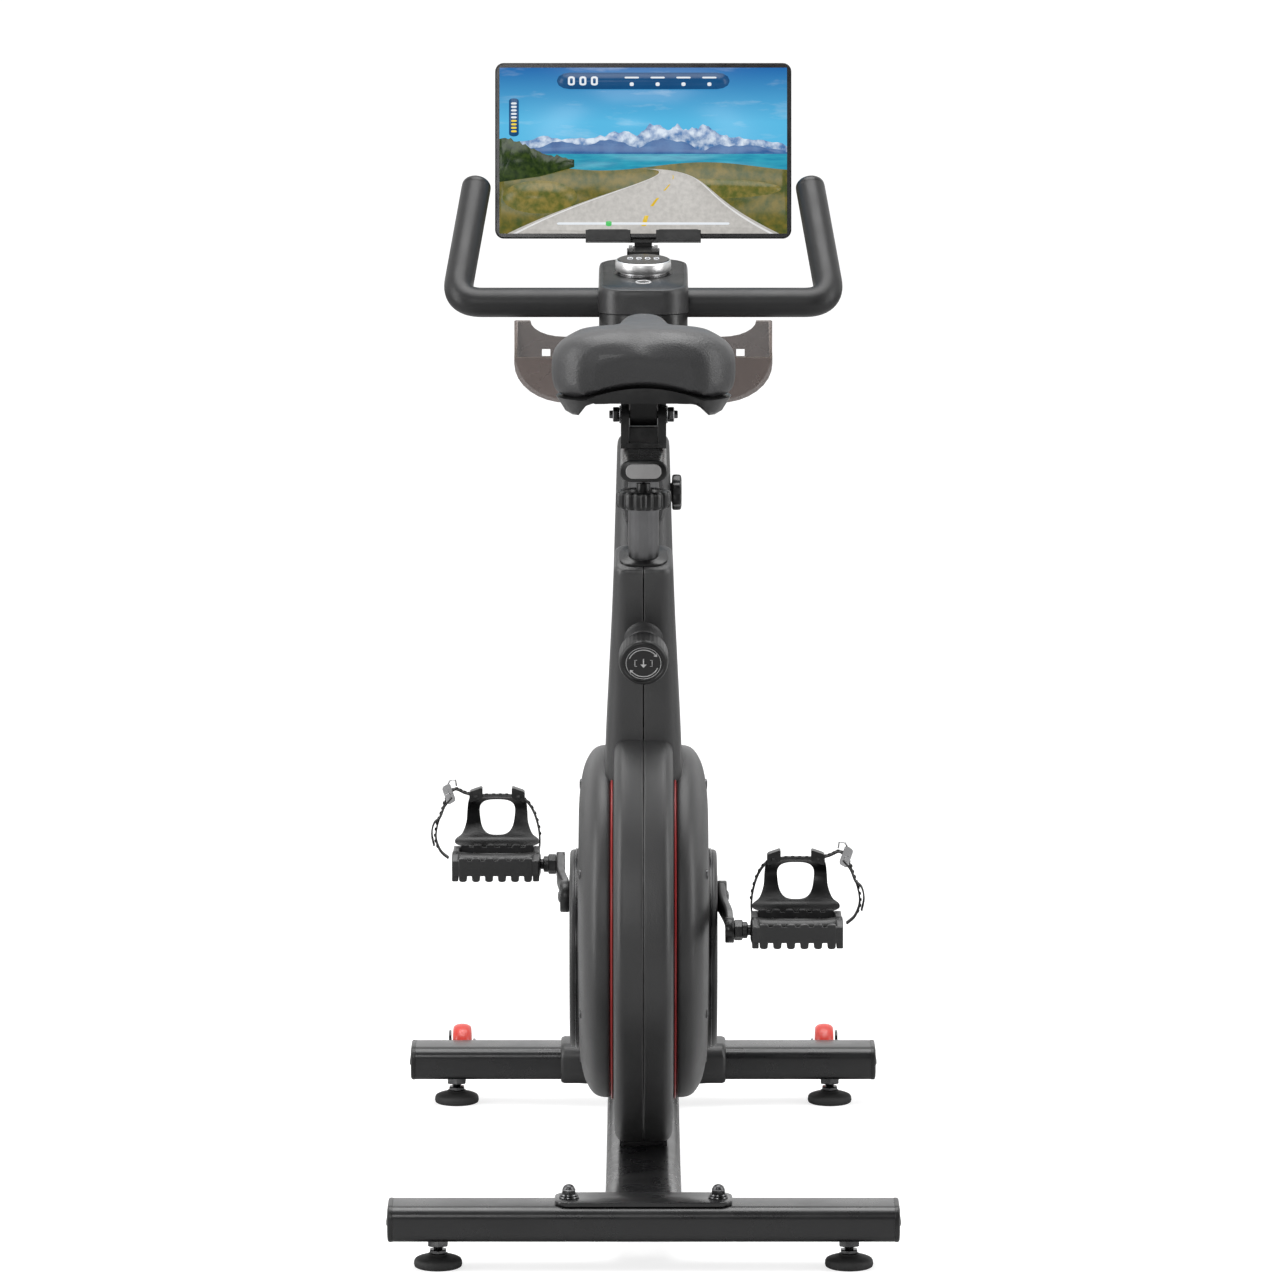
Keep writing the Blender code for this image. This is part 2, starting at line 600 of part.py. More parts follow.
def crank_arm(side, sign):
    """A dog-leg arm with round ends and the pedal's spindle on its far end."""
    angle = CRANK_TILT if side == "left" else math.pi + CRANK_TILT
    along = Vector((0.0, math.cos(angle), math.sin(angle)))
    across = Vector((0.0, -along.z, along.y))
    centre = place(0, *CRANK)
    hub, eye = 0.0165, 0.0135
    stations = [(-hub * math.cos(a), hub * math.sin(a)) for a in (0.2, 0.7, 1.2)]
    stations += [(0.0, hub), (0.03, 0.0130), (0.07, 0.0110), (0.11, 0.0110), (0.145, 0.0120)]
    stations += [(CRANK_LENGTH + eye * math.sin(a), eye * math.cos(a)) for a in (0.0, 0.5, 1.0, 1.4)]
    rings = []
    for reach, half in stations:
        bend = min(max((reach - 0.02) / 0.10, 0.0), 1.0)
        middle = sign * (0.0846 + 0.0066 * bend * bend * (3 - 2 * bend))
        thick = 0.0040
        edge = min(0.002, half * 0.4)
        outline = [(thick, half - edge), (thick - 0.0015, half), (-thick + 0.0015, half),
                   (-thick, half - edge), (-thick, edge - half), (-thick + 0.0015, -half),
                   (thick - 0.0015, -half), (thick, edge - half)]
        rings.append([centre + along * reach + X_AXIS * (middle + a) + across * b
                      for a, b in outline])
    arm = add_piece("crank_arm_" + side, loft(rings), "frame_black", centre)
    pedal = centre + along * CRANK_LENGTH
    spindle = [(0.0085, 0.0920), (0.0085, 0.1105), (0.0058, 0.1105), (0.0058, 0.1950)]
    spindle = [(radius, sign * x) for radius, x in spindle]
    boolean(arm, add_tool("spindle_" + side, turned(spindle, pedal, X_AXIS, 14)), "UNION")
    return arm, pedal


def build_drive():
    centre = place(0, *CRANK)
    axle = add_piece("crank_axle", rod(0.0085, place(-0.0803, *CRANK), place(0.0803, *CRANK), 20),
                     "steel", centre)
    root, lip = CRANK_PULLEY_RADIUS, CRANK_PULLEY_RADIUS + 0.005
    outer_x, inner_x = BELT_X[0] - 0.0008, BELT_X[1] + 0.0008
    pulley_profile = [(0.0088, outer_x - 0.0012), (lip, outer_x - 0.0012), (lip, outer_x),
                      (root, outer_x + 0.0004), (root, inner_x - 0.0004), (lip, inner_x),
                      (lip, inner_x + 0.0012), (0.0088, inner_x + 0.0012)]
    pulley = add_piece("crank_pulley", turned(pulley_profile, centre, X_AXIS, 24, closed=True),
                       "plastic_black", centre)
    wheel_centre = place(0, *FLYWHEEL)
    small = SMALL_PULLEY_RADIUS
    wheel_profile = [(0.0063, -0.0514), (small, -0.0514), (small, -0.0366),
                     (small + 0.003, -0.0364), (small + 0.003, -0.0350), (0.0125, -0.0350),
                     (0.0125, -0.0080), (0.084, -0.0080), (0.084, -0.0150),
                     (FLYWHEEL_RADIUS, -0.0150), (FLYWHEEL_RADIUS, 0.0150), (0.084, 0.0150),
                     (0.084, 0.0080), (0.0125, 0.0080), (0.0125, 0.0200), (0.0063, 0.0200)]
    add_piece("flywheel", turned(wheel_profile, wheel_centre, X_AXIS, 22, closed=True),
              "iron", wheel_centre)
    drive_belt()
    magnet_bracket()
    arms = []
    for side, sign in SIDES:
        arm, pedal = crank_arm(side, sign)
        arms.append(arm)
        build_pedal(side, sign, pedal)
    hang("crank_pivot", centre, [axle, pulley] + arms)


def build_pedal(side, sign, pedal):
    """Platform with bars and barrel, toe cage in front and its strap."""
    def at(x, y, z):
        return Vector((sign * x, pedal.y + y, pedal.z + z))

    def block(low, high):
        corners = ((low[0], low[1]), (high[0], low[1]), (high[0], high[1]), (low[0], high[1]))
        return loft([[at(x, y, z) for x, y in corners] for z in (low[2], high[2])])

    body = add_piece("pedal_body_" + side, block((0.1130, -0.047, -0.0150),
                                                 (0.2120, 0.047, 0.0130)), "plastic_black", pedal)
    barrel = rod(0.0165, at(0.1125, 0, 0), at(0.2126, 0, 0), 20)
    boolean(body, add_tool("barrel_" + side, barrel), "UNION")
    for number, (low, high) in enumerate(((0.0195, 0.0365), (-0.0365, -0.0195))):
        window = block((0.1220, low, -0.030), (0.2030, high, 0.030))
        boolean(body, add_tool("window_%s_%d" % (side, number), window))
    for number in range(5):
        x = PEDAL_MIDDLE + (number - 2) * TOOTH_PITCH
        notch = block((x - 0.004, -0.060, -0.0200), (x + 0.004, -0.0365, -0.0075))
        notch_front = block((x - 0.004, 0.0365, -0.0200), (x + 0.004, 0.060, -0.0075))
        boolean(body, add_tool("notch_%s_%d" % (side, number), notch))
        boolean(body, add_tool("front_notch_%s_%d" % (side, number), notch_front))
    boolean(body, add_tool("pedal_bore_" + side, rod(0.0062, at(0.101, 0, 0), at(0.197, 0, 0), 14)))

    cage_path = ((0.0485, -0.006, 0.0445), (0.0490, 0.010, 0.0445), (0.0560, 0.016, 0.0370),
                 (0.0720, 0.030, 0.0350), (0.0780, 0.048, 0.0350), (0.0730, 0.064, 0.0345),
                 (0.0600, 0.074, 0.0320), (0.0440, 0.079, 0.0300))
    rings = []
    for i, (y, z, half) in enumerate(cage_path):
        before = cage_path[max(i - 1, 0)]
        after = cage_path[min(i + 1, len(cage_path) - 1)]
        run = Vector((after[0] - before[0], after[1] - before[1])).normalized()
        thin = Vector((-run.y, run.x)) * 0.00115
        rings.append([at(PEDAL_MIDDLE + sx * half, y + st * thin.x, z + st * thin.y)
                      for sx, st in ((-1, -1), (1, -1), (1, 1), (-1, 1))])
    cage = add_piece("toe_cage_" + side, loft(rings), "plastic_black", pedal)
    opening = [at(PEDAL_MIDDLE + a, 0.030, 0.0440 + b)
               for a, b in rounded_rect(0.042, 0.036, 0.014, 4)]
    far = [point + Y_AXIS * 0.080 for point in opening]
    boolean(cage, add_tool("cage_opening_" + side, loft([opening, far])))

    strap_path = ((0.1190, 0.0570), (0.1260, 0.0800), (0.1460, 0.0868), (0.1820, 0.0868),
                  (0.2010, 0.0815), (0.2150, 0.0640), (0.2230, 0.0400), (0.2260, 0.0200),
                  (0.2220, 0.0020), (0.2170, -0.0080))
    strap_rings = []
    for i, (x, z) in enumerate(strap_path):
        before = strap_path[max(i - 1, 0)]
        after = strap_path[min(i + 1, len(strap_path) - 1)]
        run = Vector((after[0] - before[0], after[1] - before[1])).normalized()
        thin = Vector((-run.y, run.x)) * 0.0009
        strap_rings.append([at(x + st * thin.x, 0.050 + sy * 0.006, z + st * thin.y)
                            for sy, st in ((-1, -1), (1, -1), (1, 1), (-1, 1))])
    strap = add_piece("pedal_strap_" + side, loft(strap_rings), "strap", pedal)
    hang("pedal_pivot_" + side, pedal, [body, cage, strap])


# --- seat ---------------------------------------------------------------------
def seat_post():
    """Post with the slider's head block on top and pin holes down its back."""
    point = place(0, *SEAT_BASE)
    first, second = axis_frame(SEAT_DIR)
    top_z = 0.8052
    rings = []
    for level in ("bottom", "top"):
        ring = []
        for a, b in circle(SEAT_POST_RADIUS, 20):
            start = point + first * a + second * b
            reach = 0.125 if level == "bottom" else (top_z - start.z) / SEAT_DIR.z
            ring.append(start + SEAT_DIR * reach)
        rings.append(ring)
    post = add_piece("seat_post", loft(rings), "frame_black", point)
    neck = add_tool("neck", box((-0.0115, 0.132, 0.8042), (0.0115, 0.232, 0.8140)))
    head_outline = rounded_rect(0.0440, 0.0170, 0.0080, 4)
    head = loft([[place(a, y, SLIDER_Z + b) for a, b in head_outline] for y in (0.128, 0.236)])
    boolean(post, neck, "UNION")
    boolean(post, add_tool("head", head), "UNION")
    boolean(post, add_tool("wheel_bolt_hole", rod(0.0045, place(0, 0.144, 0.800),
                                                  place(0, 0.144, 0.8165), 12)))
    for number in range(5):
        station = PIN_STATION + (number - 4) * 0.040
        hole = rod(0.0048, point + SEAT_DIR * station + SEAT_BACK * 0.008,
                   point + SEAT_DIR * station + SEAT_BACK * 0.020, 8)
        boolean(post, add_tool("pin_hole_%d" % number, hole))
    return post


def seat_pin_knob():
    point = place(0, *SEAT_BASE) + SEAT_DIR * PIN_STATION
    profile = [(0.0, 0.0166), (0.0046, 0.0166), (0.0046, 0.0270),
               (0.0090, 0.0270), (0.0090, 0.0560), (0.0220, 0.0600),
               (0.0262, 0.0670), (0.0262, 0.0850), (0.0230, 0.0891), (0.0, 0.0891)]
    return add_piece("seat_pin_knob", turned(profile, point, SEAT_BACK, 20), "plastic_black",
                     point)


def build_seat():
    post = seat_post()
    pin = seat_pin_knob()
    section = rounded_rect(0.049, 0.022, 0.0106, 5)
    hollow = rounded_rect(0.045, 0.018, 0.0086, 5)
    rings = [[place(a, y, SLIDER_Z + b) for a, b in outline]
             for outline, y in ((section, 0.100), (section, 0.312), (hollow, 0.312), (hollow, 0.100))]
    slider = add_piece("seat_slider", loft(rings, closed=True), "frame_black")
    slot = box((-0.0125, 0.114, 0.800), (0.0125, 0.284, 0.816))
    boolean(slider, add_tool("slider_slot", slot))
    plug_sizes = ((0.1110, 0.0438, 0.0168), (0.0998, 0.0444, 0.0174), (0.0997, 0.049, 0.022),
                  (0.0975, 0.049, 0.022), (0.0962, 0.045, 0.018))
    plug_rings = [[place(a, y, SLIDER_Z + b)
                   for a, b in rounded_rect(width, height, height * 0.48, 5)]
                  for y, width, height in plug_sizes]
    plug = add_piece("slider_end_plug", loft(plug_rings), "plug_grey")

    wheel_centre = place(0, 0.144, 0.785)
    wheel_profile = [(0.0, -0.0090), (0.0220, -0.0095), (0.0258, -0.0050), (0.0258, 0.0060),
                     (0.0220, 0.0095), (0.0190, 0.0040), (0.0075, 0.0040), (0.0075, 0.0170),
                     (0.0040, 0.0170), (0.0040, 0.0285), (0.0, 0.0285)]
    wheel = add_piece("seat_handwheel", turned(wheel_profile, wheel_centre, Z_AXIS, 24, lobes=8,
                                               lobe_depth=0.035), "plastic_black", wheel_centre)

    clamp_z = SLIDER_Z + 0.011 + GAP
    outline = [(-0.0240, clamp_z), (0.0240, clamp_z), (0.0240, 0.8750), (0.0150, 0.8750),
               (0.0150, 0.8380), (-0.0150, 0.8380), (-0.0150, 0.8750), (-0.0240, 0.8750)]
    clamp = add_piece("saddle_clamp", prism(outline, 0.196, 0.234, "XZ"), "plastic_black")
    pivot = place(0, *CLAMP_PIVOT)
    bolt_profile = [(0.0055, -0.0370), (0.0055, -0.0330), (0.0080, -0.0320), (0.0080, -0.0235),
                    (0.0040, -0.0235), (0.0040, 0.0235), (0.0080, 0.0235), (0.0080, 0.0320),
                    (0.0055, 0.0330), (0.0055, 0.0370)]
    boolean(clamp, add_tool("clamp_bolt", turned(bolt_profile, pivot, X_AXIS, 14)), "UNION")

    base_levels = ((0.8805, 0.84), (0.8835, 0.90), (0.8952, 0.94))
    base = add_piece("saddle_base", loft([saddle_ring(z, scale) for z, scale in base_levels]),
                     "plastic_black", pivot)
    lug = add_tool("lug", box((-0.0145, 0.203, 0.862), (0.0145, 0.227, 0.884)))
    lug_round = add_tool("lug_round", rod(0.0120, pivot - X_AXIS * 0.0146,
                                          pivot + X_AXIS * 0.0146, 18))
    lug_bore = add_tool("lug_bore", rod(0.0043, pivot - X_AXIS * 0.02, pivot + X_AXIS * 0.02, 14))
    boolean(base, lug, "UNION")
    boolean(base, lug_round, "UNION")
    boolean(base, lug_bore)
    pad_levels = ((0.8956, 0.955), (0.9060, 0.99), (0.9220, 1.0), (0.9400, 0.985),
                  (0.9550, 0.90), (0.9640, 0.74), (0.9670, 0.50))
    pad = add_piece("saddle_pad", loft([saddle_ring(z, scale) for z, scale in pad_levels]),
                    "saddle_skin", pivot)
    hang("saddle_pivot", pivot, [base, pad])
    hang("seat_pivot", place(0, 0.2145, 0.809), [slider, plug, clamp])
    return post, pin, wheel


def saddle_ring(z, scale):
    """The saddle's outline in plan, drawn in towards its middle by a scale."""
    half = ((0.0, 0.072), (0.045, 0.070), (0.078, 0.080), (0.093, 0.105), (0.096, 0.135),
            (0.088, 0.168), (0.066, 0.205), (0.045, 0.245), (0.032, 0.290), (0.0245, 0.322),
            (0.012, 0.337), (0.0, 0.340))
    outline = list(half) + [(-x, y) for x, y in half[-2:0:-1]]
    middle = 0.195
    return [place(x * scale, middle + (y - middle) * (0.5 + scale / 2), z)
            for x, y in outline]


# --- column top ---------------------------------------------------------------
def handlebar():
    """One bent tube: crossbar, a tight corner each side and two horns."""
    tip = (0.188, 0.835, 1.044)
    corner = Vector((BAR_HALF, *BAR))
    horn = (Vector(tip) - corner).normalized()
    right = [Vector((0.09, *BAR))]
    for k in range(6):
        t = k / 5
        start = corner - X_AXIS * BAR_BEND
        end = corner + horn * BAR_BEND
        right.append(start * (1 - t) ** 2 + corner * 2 * t * (1 - t) + end * t ** 2)
    right.append(Vector(tip))
    right.append(Vector(tip) + horn * 0.005)
    right.append(Vector(tip) + horn * 0.0075)
    scales = [BAR_RADIUS] * (len(right) - 2) + [0.0140, 0.0090]
    path = [Vector((-p.x, p.y, p.z)) for p in reversed(right)] + right
    path = [place(p.x, p.y, p.z) for p in path]
    sizes = scales[::-1] + scales
    rings = sweep(path, sizes)
    return add_piece("handlebar", loft(rings), "frame_black")


def handlebar_post():
    point = place(0, *BAR)
    first, second = axis_frame(COLUMN_DIR)
    top_z = 0.9055
    rings = []
    for level in ("bottom", "top"):
        ring = []
        for a, b in circle(0.018, 20):
            start = point + first * a + second * b
            reach = -0.36 if level == "bottom" else (top_z - start.z) / COLUMN_DIR.z
            ring.append(start + COLUMN_DIR * reach)
        rings.append(ring)
    post = add_piece("handlebar_post", loft(rings), "frame_black", point)
    stem = [(BAR[0] + 0.0215 * math.cos(a), BAR[1] + 0.0215 * math.sin(a))
            for a in [math.radians(-35 + 250 * k / 12) for k in range(13)]]
    stem += [(BAR[0] - 0.0220, 0.9035), (BAR[0] + 0.0160, 0.9035)]
    boolean(post, add_tool("stem", prism(stem, -0.016, 0.016, "YZ")), "UNION")
    boolean(post, add_tool("stem_bore", rod(BAR_RADIUS + GAP, point - X_AXIS * 0.03,
                                            point + X_AXIS * 0.03, 24)))
    return post


def deck_height(y):
    return 0.950 + (y - 0.655) * DECK_SLOPE


def console():
    """Lower and upper housing round the crossbar, seam below its middle."""
    middle = 0.745
    point = place(0, *BAR)
    bar_way = add_tool("bar_way", rod(BAR_RADIUS + 0.0007, point - X_AXIS * 0.08,
                                      point + X_AXIS * 0.08, 24))
    post_way = tube_through("post_way", point, COLUMN_DIR, 0.0186, -0.10, -0.02)
    outline = rounded_rect(0.100, 0.180, 0.030, 5)
    inside = rounded_rect(0.094, 0.174, 0.027, 5)

    def ring(points, z, scale=1.0, drop=None):
        return [place(x * scale, middle + y * scale,
                      z if drop is None else deck_height(middle + y * scale) - drop)
                for x, y in points]

    lower = add_piece("console_lower", loft([ring(outline, 0.8925, 0.93), ring(outline, 0.8960, 0.985),
                                             ring(outline, 0.9215, 0.985)]), "plastic_black")
    boolean(lower, add_tool("lower_cavity", loft([ring(inside, 0.8970, 0.96), ring(inside, 0.93, 0.98)])))
    boolean(lower, bar_way)
    boolean(lower, post_way)
    upper = add_piece("console_upper", loft([ring(outline, 0.9218), ring(outline, 0, 1.0, 0.0070),
                                             ring(outline, 0, 0.985, 0.0020),
                                             ring(outline, 0, 0.95, 0.0)]), "plastic_black")
    boolean(upper, add_tool("upper_cavity", loft([ring(inside, 0.9150), ring(inside, 0, 1.0, 0.0095),
                                                  ring(inside, 0, 0.96, 0.0035)])))
    boolean(upper, bar_way)
    normal = Vector((0.0, -DECK_SLOPE, 1.0)).normalized()
    dial_point = place(0, DIAL_Y, deck_height(DIAL_Y))
    boolean(upper, add_tool("dial_hole", rod(0.0045, dial_point - normal * 0.012,
                                             dial_point + normal * 0.006, 12)))
    profile = [(0.0, -0.0090), (0.0040, -0.0090), (0.0040, 0.0006), (0.0260, 0.0006),
               (0.0260, 0.0030), (0.0310, 0.0034), (0.0310, 0.0145), (0.0292, 0.0157),
               (0.0, 0.0157)]
    dial = add_piece("console_dial", turned(profile, dial_point, normal, 24), "silver", dial_point)
    return lower, upper, dial


def tray_ring(y, inset, top, lid=None):
    """Upright sides, rounded lower corners and a flat floor, drawn in by an inset."""
    half = TRAY_HALF - inset
    floor_z = TRAY_FLOOR + inset
    across, rise = 0.060, 0.0445
    left = [(-half, top)]
    for k in range(9):
        angle = math.pi * (1 + k / 16)
        left.append((across - half + across * math.cos(angle),
                     floor_z + rise + rise * math.sin(angle)))
    outline = left + [(-x, z) for x, z in reversed(left)]
    if lid is not None:
        outline += [(half, lid), (-half, lid)]
    return [place(x, y, z) for x, z in outline]


def accessory_tray():
    """Open-topped smoked tray: a low rear wall, and a front wall with two scallops."""
    front_top = 0.8985
    tray = add_piece("accessory_tray", loft([tray_ring(TRAY_REAR, 0.0, 0.866),
                                             tray_ring(TRAY_FRONT, 0.0, front_top)]), "smoked")
    cavity = loft([tray_ring(y, TRAY_WALL, 0.880, 0.940)
                   for y in (TRAY_REAR + TRAY_WALL, TRAY_FRONT - TRAY_WALL)])
    boolean(tray, add_tool("tray_cavity", cavity))
    notch = box((-0.058, TRAY_FRONT - 0.010, 0.8895), (0.058, TRAY_FRONT + 0.010, 0.920))
    boolean(tray, add_tool("tray_notch", notch))
    for side, sign in SIDES:
        outline = [(sign * 0.0890 + 0.0385 * a, front_top + 0.0185 * b) for a, b in circle(1.0, 24)]
        scallop = prism(outline, TRAY_FRONT - 0.010, TRAY_FRONT + 0.010, "XZ")
        boolean(tray, add_tool("tray_scallop_" + side, scallop))
        low_x, high_x = sorted((sign * 0.105, sign * 0.1145))
        slot = box((low_x, TRAY_FRONT - 0.010, 0.858), (high_x, TRAY_FRONT + 0.010, 0.866))
        boolean(tray, add_tool("tray_slot_" + side, slot))
    return tray


def tablet_point(x, across, up):
    """A point in the tablet's plane: across is away from the rider."""
    lean_sin, lean_cos = math.sin(TABLET_LEAN), math.cos(TABLET_LEAN)
    return place(x, TABLET_BASE[0] + across * lean_cos + up * lean_sin,
                 TABLET_BASE[1] - across * lean_sin + up * lean_cos)


def tablet_block(low, high):
    corners = ((low[1], low[2]), (high[1], low[2]), (high[1], high[2]), (low[1], high[2]))
    return loft([[tablet_point(x, across, up) for across, up in corners]
                 for x in (low[0], high[0])])


def tablet_and_holder():
    width, height, thick = TABLET_SIZE
    outline = [(a, b + height / 2) for a, b in rounded_rect(width, height, 0.010, 5)]
    pivot = place(0, *HOLDER_PIVOT)
    tablet = add_piece("tablet", loft([[tablet_point(a, across, b) for a, b in outline]
                                       for across in (0.0, thick)]), "screen", pivot)
    lip, shelf, back = -0.0045, -0.0042, thick + 0.0042
    holder = add_piece("tablet_holder", tablet_block((-0.0655, thick + 0.0006, shelf),
                                                     (0.0655, back, 0.095)), "plastic_black", pivot)
    boolean(holder, add_tool("shelf", tablet_block((-0.0655, lip, shelf),
                                                   (0.0655, thick + 0.002, -0.0006))), "UNION")
    boolean(holder, add_tool("lip", tablet_block((-0.0655, lip, shelf + 0.0002),
                                                 (0.0655, -0.0006, 0.0095))), "UNION")
    boolean(holder, add_tool("lip_gap", tablet_block((-0.0145, -0.020, -0.015),
                                                     (0.0145, thick - 0.001, 0.020))))
    web = box((-0.0100, HOLDER_PIVOT[0] - 0.006, HOLDER_PIVOT[1]),
              (0.0100, HOLDER_PIVOT[0] + 0.006, HOLDER_PIVOT[1] + 0.030))
    barrel = rod(0.0085, pivot - X_AXIS * 0.0119, pivot + X_AXIS * 0.0119, 18)
    boolean(holder, add_tool("web", web), "UNION")
    boolean(holder, add_tool("barrel", barrel), "UNION")
    boolean(holder, add_tool("barrel_bore", rod(0.0034, pivot - X_AXIS * 0.02,
                                                pivot + X_AXIS * 0.02, 12)))

    y = HOLDER_PIVOT[0]
    fork = [(-0.0165, 0.8355), (0.0165, 0.8355), (0.0165, y + 0.009), (0.0124, y + 0.009),
            (0.0124, y - 0.012), (-0.0124, y - 0.012), (-0.0124, y + 0.009), (-0.0165, y + 0.009)]
    neck = add_piece("holder_neck", prism(fork, 0.9530, 0.9740, "XY"), "plastic_black")
    boolean(neck, add_tool("holder_pin", rod(0.0031, pivot - X_AXIS * 0.0180,
                                             pivot + X_AXIS * 0.0180, 12)), "UNION")
    return tablet, holder, neck


def handlebar_knob():
    y, z = knob_place()
    centre = place(0, y, z)
    profile = [(0.0, 0.0184), (0.0044, 0.0184), (0.0044, 0.0314), (0.0150, 0.0318),
               (0.0180, 0.0335), (0.0180, 0.0400), (0.0160, 0.0425), (0.0, 0.0428)]
    return add_piece("handlebar_knob", turned(profile, centre, X_AXIS, 30, lobes=6,
                                              lobe_depth=0.09), "plastic_black", centre)


def main():
    clear_scene()
    build_base()
    knob_hole = build_covers()
    build_frame(knob_hole)
    build_drive()
    build_seat()
    handlebar()
    handlebar_post()
    console()
    accessory_tray()
    tablet_and_holder()
    handlebar_knob()


main()
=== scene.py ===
"""Looks of the exercise bike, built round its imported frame."""
import json
import math

import bpy
import bmesh
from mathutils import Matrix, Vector, noise


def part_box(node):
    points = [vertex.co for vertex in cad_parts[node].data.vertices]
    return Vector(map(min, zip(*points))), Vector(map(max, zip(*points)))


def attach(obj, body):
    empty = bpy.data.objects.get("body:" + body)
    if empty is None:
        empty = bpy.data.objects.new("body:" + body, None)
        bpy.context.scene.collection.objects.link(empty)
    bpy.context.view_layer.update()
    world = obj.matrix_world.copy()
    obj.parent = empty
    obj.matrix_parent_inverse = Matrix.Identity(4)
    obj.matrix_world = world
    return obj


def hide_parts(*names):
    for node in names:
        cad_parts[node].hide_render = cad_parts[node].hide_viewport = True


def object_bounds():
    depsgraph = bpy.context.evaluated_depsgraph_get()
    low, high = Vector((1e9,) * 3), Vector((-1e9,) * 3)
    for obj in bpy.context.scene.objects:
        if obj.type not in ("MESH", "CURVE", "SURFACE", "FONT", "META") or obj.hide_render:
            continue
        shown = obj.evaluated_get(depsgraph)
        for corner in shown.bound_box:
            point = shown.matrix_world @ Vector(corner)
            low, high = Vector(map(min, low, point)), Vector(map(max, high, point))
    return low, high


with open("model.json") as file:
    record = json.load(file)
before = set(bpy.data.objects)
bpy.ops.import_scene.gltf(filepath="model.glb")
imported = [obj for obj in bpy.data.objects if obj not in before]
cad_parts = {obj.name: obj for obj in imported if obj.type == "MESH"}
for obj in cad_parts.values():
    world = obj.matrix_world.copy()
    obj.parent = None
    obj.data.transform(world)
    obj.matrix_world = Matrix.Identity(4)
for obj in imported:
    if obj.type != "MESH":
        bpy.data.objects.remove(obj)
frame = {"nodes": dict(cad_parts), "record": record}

CAD_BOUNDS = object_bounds()
NODES = frame["nodes"]
JOINTS = {joint["name"]: joint for joint in frame["record"]["behaviour"]["joints"]}
X_AXIS = Vector((1, 0, 0))
Y_AXIS = Vector((0, 1, 0))
Z_AXIS = Vector((0, 0, 1))
SIDES = (("left", -1), ("right", 1))
SHARP_ANGLE = 38.0


def middle(node):
    low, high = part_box(node)
    return (Vector(low) + Vector(high)) / 2


def corner(node, which):
    return Vector(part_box(node)[which])


def pivot(joint):
    return Vector(JOINTS[joint]["pos_m"])


def on_centre_plane(point):
    return Vector((0.0, point.y, point.z))


def joint_axis(joint):
    return Vector(JOINTS[joint]["axis"]).normalized()


